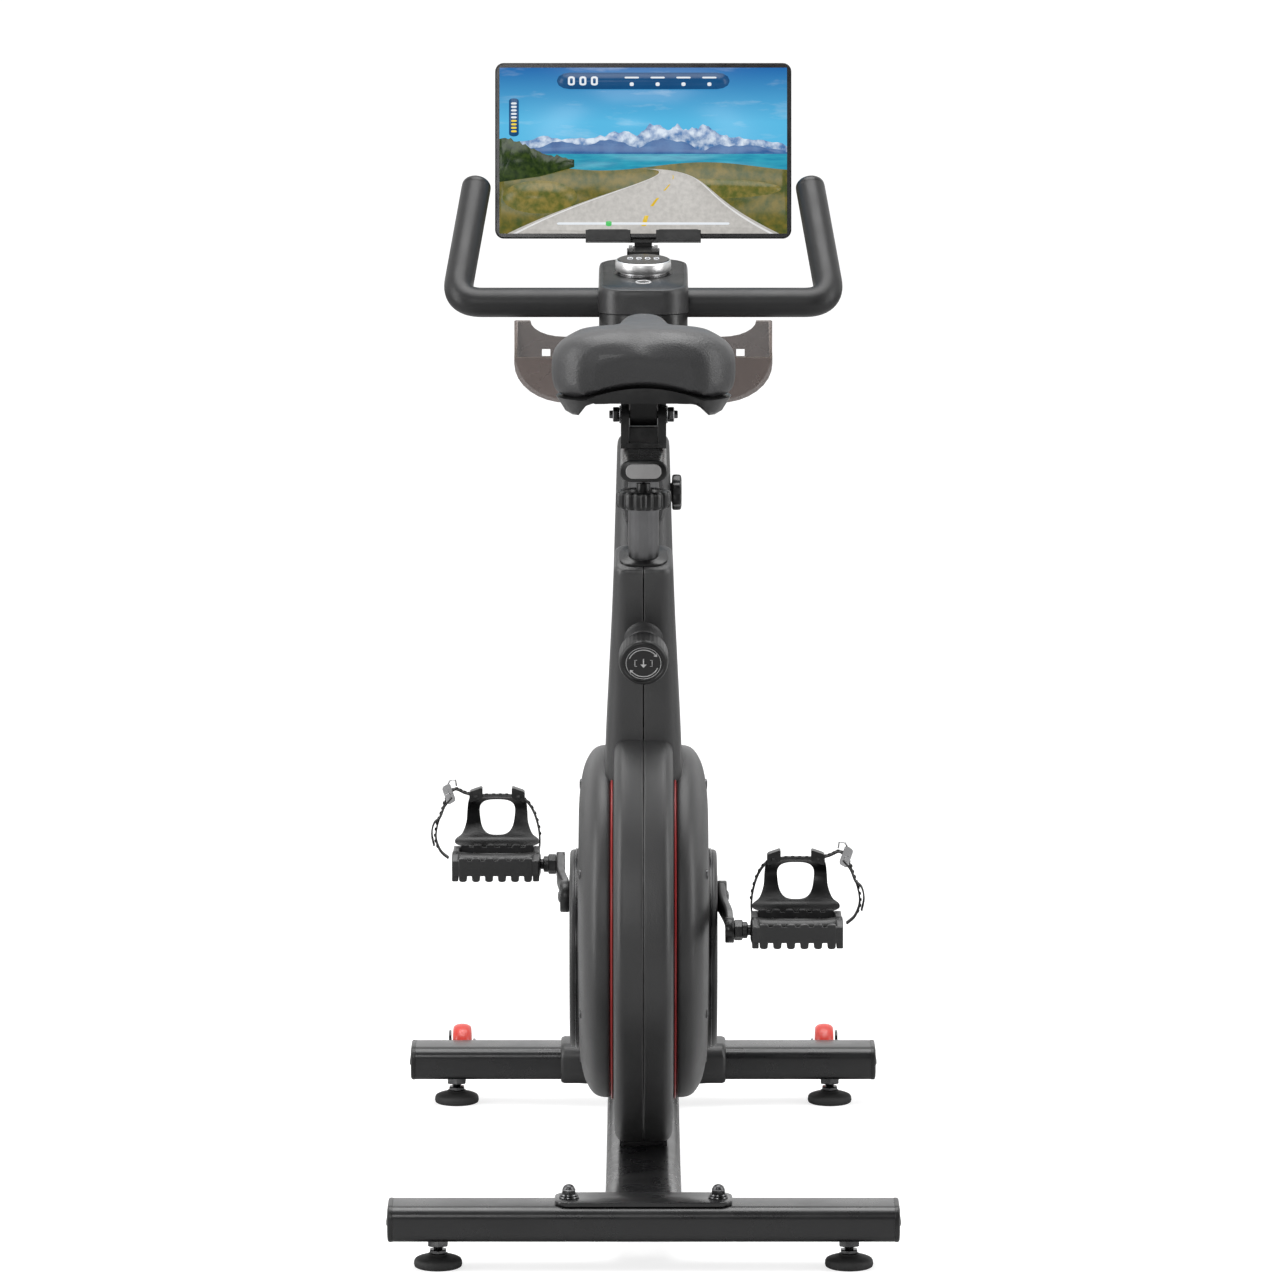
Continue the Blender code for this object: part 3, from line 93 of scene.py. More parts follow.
# --- materials ------------------------------------------------------------------
class Finish:
    """A Principled material with procedural colour, roughness and bump."""

    def __init__(self, name, colour, roughness, metallic=0.0, coat=0.0, specular=0.5):
        self.material = bpy.data.materials.new(name)
        self.material.use_nodes = True
        self.tree = self.material.node_tree
        self.shader = self.tree.nodes["Principled BSDF"]
        self.set("Base Color", (*colour, 1.0))
        self.set("Roughness", roughness)
        self.set("Metallic", metallic)
        self.set("Coat Weight", coat)
        self.set("Specular IOR Level", specular)
        self.material.diffuse_color = (*colour, 1.0)
        self.colour = colour
        self.last_colour = colour
        self.coords = self.node("ShaderNodeTexCoord").outputs["Object"]
        self.height = None

    def set(self, socket, value):
        self.shader.inputs[socket].default_value = value

    def node(self, kind, **values):
        made = self.tree.nodes.new(kind)
        for key, value in values.items():
            setattr(made, key, value)
        return made

    def link(self, output, target):
        self.tree.links.new(output, target)

    def noise(self, scale, detail, stretch=None):
        made = self.node("ShaderNodeTexNoise")
        made.inputs["Scale"].default_value = scale
        made.inputs["Detail"].default_value = detail
        made.inputs["Roughness"].default_value = 0.55
        self.link(self.stretched(stretch), made.inputs["Vector"])
        return made.outputs["Fac"]

    def stretched(self, stretch):
        if not stretch:
            return self.coords
        mapping = self.node("ShaderNodeMapping")
        mapping.inputs["Scale"].default_value = stretch
        self.link(self.coords, mapping.inputs["Vector"])
        return mapping.outputs["Vector"]

    def cells(self, scale, feature="F1"):
        made = self.node("ShaderNodeTexVoronoi", feature=feature)
        made.inputs["Scale"].default_value = scale
        self.link(self.coords, made.inputs["Vector"])
        return made.outputs["Distance"]

    def ramp(self, source, low, high, start, end):
        made = self.node("ShaderNodeMapRange")
        made.inputs["From Min"].default_value = start
        made.inputs["From Max"].default_value = end
        made.inputs["To Min"].default_value = low
        made.inputs["To Max"].default_value = high
        self.link(source, made.inputs["Value"])
        return made.outputs["Result"]

    def math(self, operation, first, second):
        made = self.node("ShaderNodeMath", operation=operation)
        for index, value in enumerate((first, second)):
            if isinstance(value, (int, float)):
                made.inputs[index].default_value = value
            else:
                self.link(value, made.inputs[index])
        return made.outputs[0]

    def mix(self, factor, first, second):
        made = self.node("ShaderNodeMix", data_type="RGBA")
        self.link(factor, made.inputs["Factor"])
        for key, value in ((6, first), (7, second)):
            if isinstance(value, tuple):
                made.inputs[key].default_value = (*value, 1.0)
            else:
                self.link(value, made.inputs[key])
        return made.outputs[2]

    def vary_colour(self, scale, amount, detail=4.0, stretch=None):
        """Cloudy lighter and darker patches."""
        fac = self.noise(scale, detail, stretch)
        dark = tuple(c * (1.0 - amount) for c in self.colour)
        light = tuple(min(c * (1.0 + amount) + 0.004 * amount, 1.0) for c in self.colour)
        self.last_colour = self.mix(self.ramp(fac, 0.0, 1.0, 0.3, 0.7), dark, light)
        self.link(self.last_colour, self.shader.inputs["Base Color"])
        return self

    def wear(self, amount, grey):
        """Lighter rubbed edges, broken up by noise."""
        geometry = self.node("ShaderNodeNewGeometry").outputs["Pointiness"]
        edge = self.ramp(geometry, 0.0, amount, 0.52, 0.62)
        broken = self.math("MULTIPLY", edge, self.ramp(self.noise(60.0, 5.0), 0.0, 1.6, 0.4, 0.7))
        self.last_colour = self.mix(broken, self.last_colour, (grey, grey, grey))
        self.link(self.last_colour, self.shader.inputs["Base Color"])
        return self

    def vary_roughness(self, scale, low, high, detail=4.0, stretch=None):
        fac = self.noise(scale, detail, stretch)
        self.link(self.ramp(fac, low, high, 0.3, 0.7), self.shader.inputs["Roughness"])
        return self

    def bump(self, source, strength, distance):
        made = self.node("ShaderNodeBump")
        made.inputs["Strength"].default_value = strength
        made.inputs["Distance"].default_value = distance
        self.link(source, made.inputs["Height"])
        if self.height is not None:
            self.link(self.height, made.inputs["Normal"])
        self.height = made.outputs["Normal"]
        self.link(self.height, self.shader.inputs["Normal"])
        return self

    def grain(self, scale, strength, distance):
        return self.bump(self.noise(scale, 2.0), strength, distance)


def make_finishes():
    """Every finish but the screen's, under the key that add() takes."""
    made = {}
    made["cover"] = (Finish("cover_plastic", (0.026, 0.026, 0.0265), 0.40)
                     .vary_colour(9.0, 0.16).vary_roughness(14.0, 0.34, 0.44)
                     .wear(0.5, 0.10).grain(1300.0, 0.60, 0.0003)
                     .grain(640.0, 0.45, 0.0003))
    made["cover_dark"] = (Finish("cover_plastic_dark", (0.014, 0.014, 0.0145), 0.38)
                          .vary_colour(11.0, 0.15).vary_roughness(18.0, 0.32, 0.44)
                          .wear(0.4, 0.07).grain(1100.0, 0.55, 0.0003))
    made["frame"] = (Finish("powder_coat", (0.008, 0.008, 0.0086), 0.28, coat=0.05)
                     .vary_colour(16.0, 0.14).vary_roughness(22.0, 0.24, 0.34)
                     .wear(0.25, 0.06).grain(900.0, 0.20, 0.0001)
                     .grain(2600.0, 0.18, 0.0001))
    made["black"] = (Finish("black_plastic", (0.005, 0.005, 0.0052), 0.36, specular=0.4)
                     .vary_colour(20.0, 0.20).vary_roughness(30.0, 0.28, 0.42)
                     .wear(0.3, 0.07).grain(1300.0, 0.32, 0.0002))
    made["gloss"] = (Finish("gloss_black", (0.004, 0.004, 0.005), 0.24)
                     .vary_colour(25.0, 0.2).vary_roughness(40.0, 0.20, 0.30)
                     .grain(30.0, 0.02, 0.0002))
    made["plug"] = (Finish("plug_grey", (0.24, 0.236, 0.236), 0.48)
                    .vary_colour(60.0, 0.08).vary_roughness(50.0, 0.42, 0.54)
                    .grain(900.0, 0.25, 0.0002))
    made["red"] = (Finish("wheel_red", (0.50, 0.032, 0.020), 0.34, coat=0.1)
                   .vary_colour(70.0, 0.08).vary_roughness(60.0, 0.24, 0.38)
                   .grain(500.0, 0.12, 0.0002))
    made["red"].set("Subsurface Weight", 0.35)
    made["red"].set("Subsurface Radius", (0.010, 0.003, 0.002))
    made["red"].set("Subsurface Scale", 0.6)
    made["accent"] = (Finish("accent_red", (0.30, 0.022, 0.022), 0.42, coat=0.1)
                      .vary_colour(40.0, 0.10).vary_roughness(60.0, 0.30, 0.42)
                      .grain(800.0, 0.10, 0.0001))
    made["steel"] = (Finish("turned_steel", (0.56, 0.56, 0.57), 0.26, metallic=1.0)
                     .vary_colour(80.0, 0.10).vary_roughness(120.0, 0.20, 0.34)
                     .grain(700.0, 0.12, 0.0001))
    made["dark_steel"] = (Finish("black_zinc", (0.07, 0.07, 0.072), 0.30, metallic=1.0)
                          .vary_colour(90.0, 0.15).vary_roughness(90.0, 0.22, 0.38)
                          .wear(0.4, 0.22).grain(600.0, 0.15, 0.0001))
    made["chrome"] = (Finish("chrome", (0.42, 0.42, 0.425), 0.20, metallic=1.0)
                      .vary_colour(60.0, 0.06).vary_roughness(80.0, 0.14, 0.28)
                      .grain(300.0, 0.05, 0.0001))
    made["iron"] = (Finish("machined_iron", (0.26, 0.26, 0.27), 0.42, metallic=1.0)
                    .vary_colour(30.0, 0.2).vary_roughness(60.0, 0.34, 0.50)
                    .grain(500.0, 0.2, 0.0002))
    made["rubber"] = (Finish("rubber", (0.012, 0.012, 0.012), 0.72)
                      .vary_colour(40.0, 0.22).vary_roughness(60.0, 0.64, 0.80)
                      .wear(0.3, 0.07).grain(700.0, 0.35, 0.0003))
    made["grip"] = (Finish("grip_foam", (0.009, 0.009, 0.0094), 0.46, specular=0.38)
                      .vary_colour(22.0, 0.14).vary_roughness(30.0, 0.38, 0.48))
    made["grip"].bump(made["grip"].cells(950.0), 0.22, 0.0003).grain(2200.0, 0.25, 0.0002)
    made["silver"] = (Finish("brushed_silver", (0.66, 0.66, 0.66), 0.42, metallic=1.0)
                      .vary_roughness(300.0, 0.36, 0.50, 3.0, (1.0, 1.0, 30.0)))
    made["silver"].bump(made["silver"].noise(260.0, 3.0, (1.0, 1.0, 26.0)), 0.16, 0.0002)
    made["silver"].vary_colour(200.0, 0.08, 3.0, (1.0, 1.0, 22.0))
    made["digit"] = Finish("digit_white", (0.55, 0.56, 0.58), 0.35).vary_colour(90.0, 0.08)
    made["digit"].grain(900.0, 0.05, 0.0001)
    made["mark"] = (Finish("mark_grey", (0.42, 0.42, 0.42), 0.45).vary_colour(120.0, 0.12)
                    .grain(900.0, 0.1, 0.0001))
    made["strap"] = (Finish("strap_rubber", (0.010, 0.010, 0.010), 0.60)
                     .vary_colour(80.0, 0.2).vary_roughness(60.0, 0.52, 0.68)
                     .grain(1200.0, 0.30, 0.0002))
    made["post"] = (Finish("black_chrome", (0.13, 0.13, 0.133), 0.30, metallic=1.0)
                    .vary_colour(30.0, 0.10).vary_roughness(40.0, 0.24, 0.36)
                    .grain(800.0, 0.10, 0.0001))
    made["plate"] = (Finish("column_plate", (0.26, 0.115, 0.115), 0.46)
                     .vary_colour(50.0, 0.06).vary_roughness(60.0, 0.40, 0.52)
                     .grain(900.0, 0.10, 0.0001))
    made["skin"] = leather_finish()
    made["smoked"] = smoked_finish()
    return made


def leather_finish():
    """Fine pebbled synthetic leather."""
    skin = Finish("saddle_leather", (0.022, 0.022, 0.023), 0.50, coat=0.05)
    skin.vary_colour(12.0, 0.14).vary_roughness(24.0, 0.44, 0.56)
    skin.bump(skin.cells(560.0), 0.45, 0.0005)
    skin.bump(skin.cells(1500.0, feature="SMOOTH_F1"), 0.25, 0.0002)
    return skin.grain(120.0, 0.12, 0.0004)


def smoked_finish():
    """See-through brown-grey polycarbonate."""
    smoked = Finish("smoked_polycarbonate", (0.16, 0.130, 0.120), 0.20)
    smoked.vary_colour(14.0, 0.06).vary_roughness(30.0, 0.12, 0.22).grain(40.0, 0.03, 0.0003)
    smoked.set("Alpha", 0.74)
    smoked.material.surface_render_method = "DITHERED"
    return smoked


FINISHES = make_finishes()


# --- making pieces ----------------------------------------------------------------
def add(name, shape, finish, body, sharp=SHARP_ANGLE, bevel=0.0):
    """Turn a bmesh into a piece that rides on a body."""
    bmesh.ops.remove_doubles(shape, verts=shape.verts, dist=1e-6)
    bmesh.ops.recalc_face_normals(shape, faces=shape.faces)
    mesh = bpy.data.meshes.new(name)
    shape.to_mesh(mesh)
    shape.free()
    mesh.shade_smooth()
    if sharp:
        mesh.set_sharp_from_angle(angle=math.radians(sharp))
    piece = bpy.data.objects.new(name, mesh)
    bpy.context.scene.collection.objects.link(piece)
    mesh.materials.append(FINISHES[finish].material)
    if bevel:
        soften_edges(piece, bevel, 3, 30)
    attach(piece, body)
    return piece


def soften_edges(piece, width, segments, angle):
    edge = piece.modifiers.new("edge", "BEVEL")
    edge.width = width
    edge.segments = segments
    edge.limit_method = "ANGLE"
    edge.angle_limit = math.radians(angle)


def cut(piece, shape, operation="DIFFERENCE"):
    """Apply a Boolean with a throwaway tool."""
    bmesh.ops.recalc_face_normals(shape, faces=shape.faces)
    mesh = bpy.data.meshes.new("tool")
    shape.to_mesh(mesh)
    shape.free()
    tool = bpy.data.objects.new("tool", mesh)
    bpy.context.scene.collection.objects.link(tool)
    step = piece.modifiers.new("cut", "BOOLEAN")
    step.operation = operation
    step.object = tool
    step.solver = "EXACT"
    apply_modifiers(piece)
    bpy.data.objects.remove(tool, do_unlink=True)
    piece.data.shade_smooth()
    piece.data.set_sharp_from_angle(angle=math.radians(SHARP_ANGLE))


def apply_modifiers(piece):
    graph = bpy.context.evaluated_depsgraph_get()
    done = bpy.data.meshes.new_from_object(piece.evaluated_get(graph))
    material = piece.data.materials[0]
    piece.modifiers.clear()
    piece.data = done
    if not done.materials:
        done.materials.append(material)


def rounded_rect(width, height, radius, steps):
    points = []
    for index, (sx, sy) in enumerate(((1, 1), (-1, 1), (-1, -1), (1, -1))):
        cx, cy = sx * (width / 2 - radius), sy * (height / 2 - radius)
        for k in range(steps):
            angle = math.pi / 2 * (index + k / (steps - 1))
            points.append((cx + radius * math.cos(angle), cy + radius * math.sin(angle)))
    return points


def loft(rings, closed=False, shape=None):
    shape = shape or bmesh.new()
    loops = [[shape.verts.new(point) for point in ring] for ring in rings]
    count, size = len(loops), len(loops[0])
    for i in range(count if closed else count - 1):
        lower, upper = loops[i], loops[(i + 1) % count]
        for k in range(size):
            nxt = (k + 1) % size
            shape.faces.new((lower[k], lower[nxt], upper[nxt], upper[k]))
    if not closed:
        shape.faces.new(loops[0])
        shape.faces.new(list(reversed(loops[-1])))
    return shape


def axis_frame(axis):
    helper = X_AXIS if abs(axis.x) < 0.9 else Y_AXIS
    first = axis.cross(helper).normalized()
    return first, axis.cross(first).normalized()


def smooth_profile(points, steps):
    """A rounded run through profile points (Catmull-Rom), ends kept."""
    result = []
    for i in range(len(points) - 1):
        p0 = points[max(i - 1, 0)]
        p1, p2 = points[i], points[i + 1]
        p3 = points[min(i + 2, len(points) - 1)]
        for k in range(steps):
            t = k / steps
            result.append(tuple(
                0.5 * (2 * b + (c - a) * t + (2 * a - 5 * b + 4 * c - d) * t * t
                       + (3 * b - a - 3 * c + d) * t ** 3)
                for a, b, c, d in zip(p0, p1, p2, p3)))
    result.append(tuple(points[-1]))
    return result


def smooth_path(points, steps):
    return [Vector(p) for p in smooth_profile([tuple(p) for p in points], steps)]


def turned(profile, centre, axis, segments, closed=False, ripple=None, shape=None):
    """Revolve (radius, height) about the axis; ripple(angle, radius, height) scales the radius."""
    first, second = axis_frame(axis)
    shape = shape or bmesh.new()
    loops = []
    for radius, height in profile:
        base = centre + axis * height
        if radius < 1e-6:
            loops.append([shape.verts.new(base)])
            continue
        loop = []
        for k in range(segments):
            angle = 2 * math.pi * k / segments
            reach = radius * (ripple(angle, radius, height) if ripple else 1.0)
            loop.append(shape.verts.new(base + first * (reach * math.cos(angle))
                                        + second * (reach * math.sin(angle))))
        loops.append(loop)
    pairs = list(zip(loops, loops[1:]))
    if closed:
        pairs.append((loops[-1], loops[0]))
    for lower, upper in pairs:
        for k in range(segments):
            nxt = (k + 1) % segments
            if len(lower) == 1:
                shape.faces.new((lower[0], upper[k], upper[nxt]))
            elif len(upper) == 1:
                shape.faces.new((lower[k], upper[0], lower[nxt]))
            else:
                shape.faces.new((lower[k], lower[nxt], upper[nxt], upper[k]))
    if not closed:
        for loop in (loops[0], loops[-1]):
            if len(loop) > 1:
                shape.faces.new(loop)
    return shape


def tube(path, radius, sides, closed=False, shape=None):
    """A round bar along a path; radius may be one value or a list."""
    path = [Vector(p) for p in path]
    radii = radius if isinstance(radius, list) else [radius] * len(path)
    rings = []
    last = None
    count = len(path)
    for i, point in enumerate(path):
        if closed:
            ahead, behind = path[(i + 1) % count], path[i - 1]
        else:
            ahead, behind = path[min(i + 1, count - 1)], path[max(i - 1, 0)]
        tangent = (ahead - behind).normalized()
        if last is None:
            first, second = axis_frame(tangent)
        else:
            turn = last.rotation_difference(tangent)
            first, second = turn @ first, turn @ second
        last = tangent
        ring = []
        for k in range(sides):
            angle = 2 * math.pi * k / sides
            ring.append(point + first * (radii[i] * math.cos(angle))
                        + second * (radii[i] * math.sin(angle)))
        rings.append(ring)
    return loft(rings, closed=closed, shape=shape)


def ribbon(path, width, thick, side):
    """A flat strap: path points, width along side."""
    path = [Vector(p) for p in path]
    rings = []
    for i, point in enumerate(path):
        tangent = (path[min(i + 1, len(path) - 1)] - path[max(i - 1, 0)]).normalized()
        normal = tangent.cross(side).normalized()
        rings.append([point + side * (a * width / 2) + normal * (b * thick / 2)
                      for a, b in ((-1, -0.6), (-0.9, -1), (0.9, -1), (1, -0.6),
                                   (1, 0.6), (0.9, 1), (-0.9, 1), (-1, 0.6))])
    return loft(rings)


def block(low, high, shape=None):
    low, high = Vector(low), Vector(high)
    rings = [[(low.x, low.y, z), (high.x, low.y, z), (high.x, high.y, z), (low.x, high.y, z)]
             for z in (low.z, high.z)]
    return loft(rings, shape=shape)


def mirrored(profile, sign):
    """The same (radius, height) profile on the side that sign names."""
    return [(radius, sign * height) for radius, height in profile]


def hex_profile(centre, axis, radius, low, high, dome=0.0, shape=None):
    """A hexagon nut with chamfered top and bottom, and a dome if asked."""
    first, second = axis_frame(axis)
    rings = []
    for height, scale in ((low, 0.92), (low + 0.0008, 1.0), (high - 0.0008, 1.0), (high, 0.90)):
        rings.append([centre + axis * height + first * (radius * scale * math.cos(a))
                      + second * (radius * scale * math.sin(a))
                      for a in (math.pi / 3 * k for k in range(6))])
    shape = loft(rings, shape=shape)
    if dome:
        profile = [(radius * 0.80 * math.cos(t), high + dome * math.sin(t))
                   for t in (math.pi / 2 * k / 6 for k in range(6))] + [(0.0, high + dome)]
        profile = [(radius * 0.80, high - 0.0005)] + profile
        turned(profile, centre, axis, 20, shape=shape)
    return shape


def finish_node(node, finish):
    """Give a kept CAD node its finish."""
    item = NODES[node]
    for entry in item.material_slots:
        entry.material = FINISHES[finish].material
    if not item.material_slots:
        item.data.materials.append(FINISHES[finish].material)


# --- places read from the frame -----------------------------------------------------
FLOOR_Z = CAD_BOUNDS[0][2]
FLOOR_HALF = 30.0
CASING = on_centre_plane(middle("side_cover_left"))
CRANK = on_centre_plane(pivot("crank_turn"))
SEAT_FOOT = CRANK + Vector((0.0, 0.005, 0.0))
SEAT_DIR = joint_axis("seat_height")
SEAT_BACK = joint_axis("seat_pin_pull")
PIN_FOOT = SEAT_FOOT + SEAT_DIR * 0.3294  # where the pull pin's axis meets the seat tube's
COLUMN_DIR = joint_axis("handlebar_height")
REAR_Y = middle("rear_stabiliser_tube").y
FRONT_Y = middle("front_shroud").y
BAR_RADIUS, BAR_HALF = 0.0165, 0.2095
BAR = on_centre_plane(corner("handlebar", 0)) + Vector((0.0, BAR_RADIUS, BAR_RADIUS))


# --- base ---------------------------------------------------------------------------
STABILISER_DEPTH, STABILISER_HEIGHT = 0.060, 0.038
STABILISER_HALF = 0.260
FORK_GAP = 0.0305


def stabiliser(end, y):
    """Rounded tube with soft corners, replacing the faceted one."""
    node = end + "_stabiliser_tube"
    z = middle("rear_stabiliser_tube").z
    outline = rounded_rect(STABILISER_DEPTH, STABILISER_HEIGHT, 0.0125, 9)
    rings = [[(x, y + a, z + b) for a, b in outline]
             for x in (-STABILISER_HALF, 0.0005 - STABILISER_HALF, STABILISER_HALF - 0.0005,
                       STABILISER_HALF)]
    shell = add(end + "_stabiliser_shell", loft(rings), "frame", "root")
    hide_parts(node)
    for side, sign in SIDES:
        rings = []
        for x, grow, radius in ((0.2602, 0.0006, 0.0133), (0.2625, 0.0010, 0.0135),
                                (0.2642, 0.0002, 0.0130), (0.2652, -0.0030, 0.0115),
                                (0.2655, -0.0080, 0.0090)):
            rings.append([(sign * x, y + a, z + b)
                          for a, b in rounded_rect(STABILISER_DEPTH + grow,
                                                   STABILISER_HEIGHT + grow, radius, 9)])
        shape = loft(rings)
        boss = rounded_rect(0.034, 0.008, 0.0039, 7)
        loft([[(sign * 0.2645, y + a, z + b) for a, b in boss],
              [(sign * 0.2662, y + a * 0.97, z + b * 0.9) for a, b in boss],
              [(sign * 0.2668, y + a * 0.9, z + b * 0.6) for a, b in boss]], shape=shape)
        cap = add(end + "_end_cap_shell_" + side, shape, "black", "root")
        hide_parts(end + "_end_cap_" + side)


def levelling_foot(end, side):
    """Ribbed rubber pad, steel stud, collar and lock nut."""
    node = end + "_foot_" + side
    centre = middle(node)
    centre.z = FLOOR_Z

    def ribs(angle, _radius, height):
        return 1.0 + (0.012 * (math.cos(24 * angle) > 0) if 0.001 < height < 0.006 else 0.0)

    profile = [(0.0, 0.0), (0.0232, 0.0), (0.0245, 0.0008), (0.0249, 0.0030), (0.0248, 0.0066),
               (0.0238, 0.0084), (0.0222, 0.0094)]
    profile += smooth_profile([(0.0222, 0.0094), (0.0185, 0.0108), (0.0145, 0.0118),
                               (0.0112, 0.0130), (0.0104, 0.0140)], 4)[1:] + [(0.0, 0.0142)]
    pad = add(node + "_pad", turned(profile, centre, Z_AXIS, 96, ripple=ribs), "rubber", node,
              sharp=30)
    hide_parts(node)
    shape = hex_profile(centre, Z_AXIS, 0.0098, 0.0144, 0.0186)
    turned([(0.0, 0.0184), (0.0050, 0.0184)] + [(0.0050 if k % 2 else 0.0044, 0.0188 + 0.0005 * k)
                                                for k in range(12)] + [(0.0, 0.0256)],
           centre, Z_AXIS, 24, shape=shape)
    hex_profile(centre, Z_AXIS, 0.0118, 0.0222, 0.0303, shape=shape)
    add(node + "_nuts", shape, "dark_steel", node)


def flange_and_bolts():
    low, high = (corner("rear_flange_plate", k) for k in (0, 1))
    centre = (low + high) / 2
    outline = rounded_rect(high.x - low.x, high.y - low.y, 0.013, 10)
    rings = [[(centre.x + a * s, centre.y + b * s, z) for a, b in outline]
             for z, s in ((low.z, 0.992), (low.z + 0.0008, 1.0), (high.z - 0.0010, 1.0),
                          (high.z - 0.0003, 0.997), (high.z, 0.988))]
    plate = add("flange_plate_shell", loft(rings), "frame", "root")
    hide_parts("rear_flange_plate")
    for side, sign in SIDES:
        base = Vector((sign * 0.0776, centre.y, high.z))
        shape = turned([(0.0, 0.0001), (0.0100, 0.0001), (0.0104, 0.0006), (0.0100, 0.0017),
                        (0.0, 0.0017)], base, Z_AXIS, 36)
        turned([(0.0, 0.0017), (0.0086, 0.0017), (0.0090, 0.0028), (0.0084, 0.0042), (0.0, 0.0042)],
               base, Z_AXIS, 36, shape=shape)
        hex_profile(base, Z_AXIS, 0.0078, 0.0040, 0.0090, dome=0.0050, shape=shape)
        add("flange_bolt_" + side, shape, "dark_steel", "root")


def base_beam():
    """Flat-oval beam with a weld bead where it meets the plate."""
    low, high = corner("base_beam", 0), corner("base_beam", 1)
    height, slope_length = 0.030, 0.30
    outline = rounded_rect(0.080, height, 0.0145, 12)
    rings = []
    for k in range(25):
        y = low.y + (high.y - low.y) * k / 24
        fall = max(0.0, 1.0 - (y - low.y) / slope_length)
        z = low.z + height / 2 + (high.z - low.z - height) * fall * fall * (3 - 2 * fall)
        rings.append([(a, y, z + b) for a, b in outline])
    beam = add("base_beam_shell", loft(rings), "frame", "root")
    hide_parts("base_beam")
    bead = [(x, y - 0.0006, z) for x, y, z in rings[0]]
    add("beam_weld", tube(bead, [0.0021 + 0.0005 * math.sin(k * 2.1) for k in range(len(bead))], 8,
                          closed=True), "frame", "root")


def shroud():
    low, high = corner("front_shroud", 0), corner("front_shroud", 1)
    centre = (low + high) / 2
    half = (high.x - low.x) / 2
    depth, height = high.y - low.y, high.z - low.z
    rings = []
    for x, grow in ((-1.0, -0.0045), (-0.985, -0.0015), (-0.955, 0.0), (-0.78, 0.0), (-0.70, 0.0008),
                    (0.70, 0.0008), (0.78, 0.0), (0.955, 0.0), (0.985, -0.0015), (1.0, -0.0045)):
        rings.append([(centre.x + x * half, centre.y + a, centre.z + b)
                      for a, b in rounded_rect(depth + grow, height + grow, 0.016, 9)])
    shell = add("front_shroud_shell", loft(rings), "cover_dark", "root")
    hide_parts("front_shroud")


def transport_wheels():
    for side, sign in SIDES:
        node = "transport_wheel_" + side
        centre = middle(node)
        radius = (corner(node, 1).z - corner(node, 0).z) / 2
        outer = smooth_profile([(0.0190, -0.0106), (0.0232, -0.0100), (0.0257, -0.0070),
                                (0.0268, -0.0030), (radius, 0.0), (0.0268, 0.0030),
                                (0.0257, 0.0070), (0.0232, 0.0100), (0.0190, 0.0106)], 4)
        profile = [(0.0044, -0.0106), (0.0085, -0.0106), (0.0095, -0.0085), (0.0170, -0.0085)]
        profile += outer + [(0.0170, 0.0085), (0.0095, 0.0085), (0.0085, 0.0106), (0.0044, 0.0106)]
        wheel = add(node + "_tyre", turned(profile, centre, X_AXIS, 72, closed=True), "red",
                    "wheel_" + side)
        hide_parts(node)
        shape = bmesh.new()
        inner_y = FRONT_Y + FORK_GAP - centre.y
        for x, way in ((-0.0125, -1), (0.0125, 1)):
            outline = [(inner_y, 0.0125), (inner_y, -0.0125)]
            outline += [(0.0100 * math.cos(a), 0.0100 * math.sin(a))
                        for a in (math.radians(-90 + 15 * k) for k in range(13))]
            loft([[centre + Vector((x + way * t, b, c)) for b, c in outline]
                  for t in (0.0, 0.0028)], shape=shape)
        block(centre + Vector((-0.0152, inner_y - 0.0005, -0.0125)),
              centre + Vector((0.0152, inner_y + 0.0020, 0.0125)), shape=shape)
        outer_x = sign * 0.0139
        loft([[centre + Vector((outer_x + t, b, c)) for b, c in
               ((-0.0090, -0.0060), (0.0090, -0.0060), (0.0090, 0.0150), (0.0050, 0.0190),
                (-0.0050, 0.0190), (-0.0090, 0.0150))] for t in (-0.0014, 0.0014)], shape=shape)
        add("wheel_fork_" + side, shape, "frame", "root", bevel=0.0006)
        shape = turned([(0.0, -0.0180), (0.0036, -0.0180), (0.0042, -0.0172), (0.0042, 0.0172),
                        (0.0, 0.0172)], centre, X_AXIS, 20)
        hex_profile(centre, X_AXIS * sign, 0.0072, 0.0154, 0.0192, dome=0.0022, shape=shape)
        hex_profile(centre, X_AXIS * -sign, 0.0072, 0.0154, 0.0188, shape=shape)
        add("wheel_axle_" + side, shape, "steel", "root")


def build_base():
    stabiliser("rear", REAR_Y)
    stabiliser("front", FRONT_Y)
    for end in ("rear", "front"):
        for side, _ in SIDES:
            levelling_foot(end, side)
    flange_and_bolts()
    base_beam()
    shroud()
    transport_wheels()


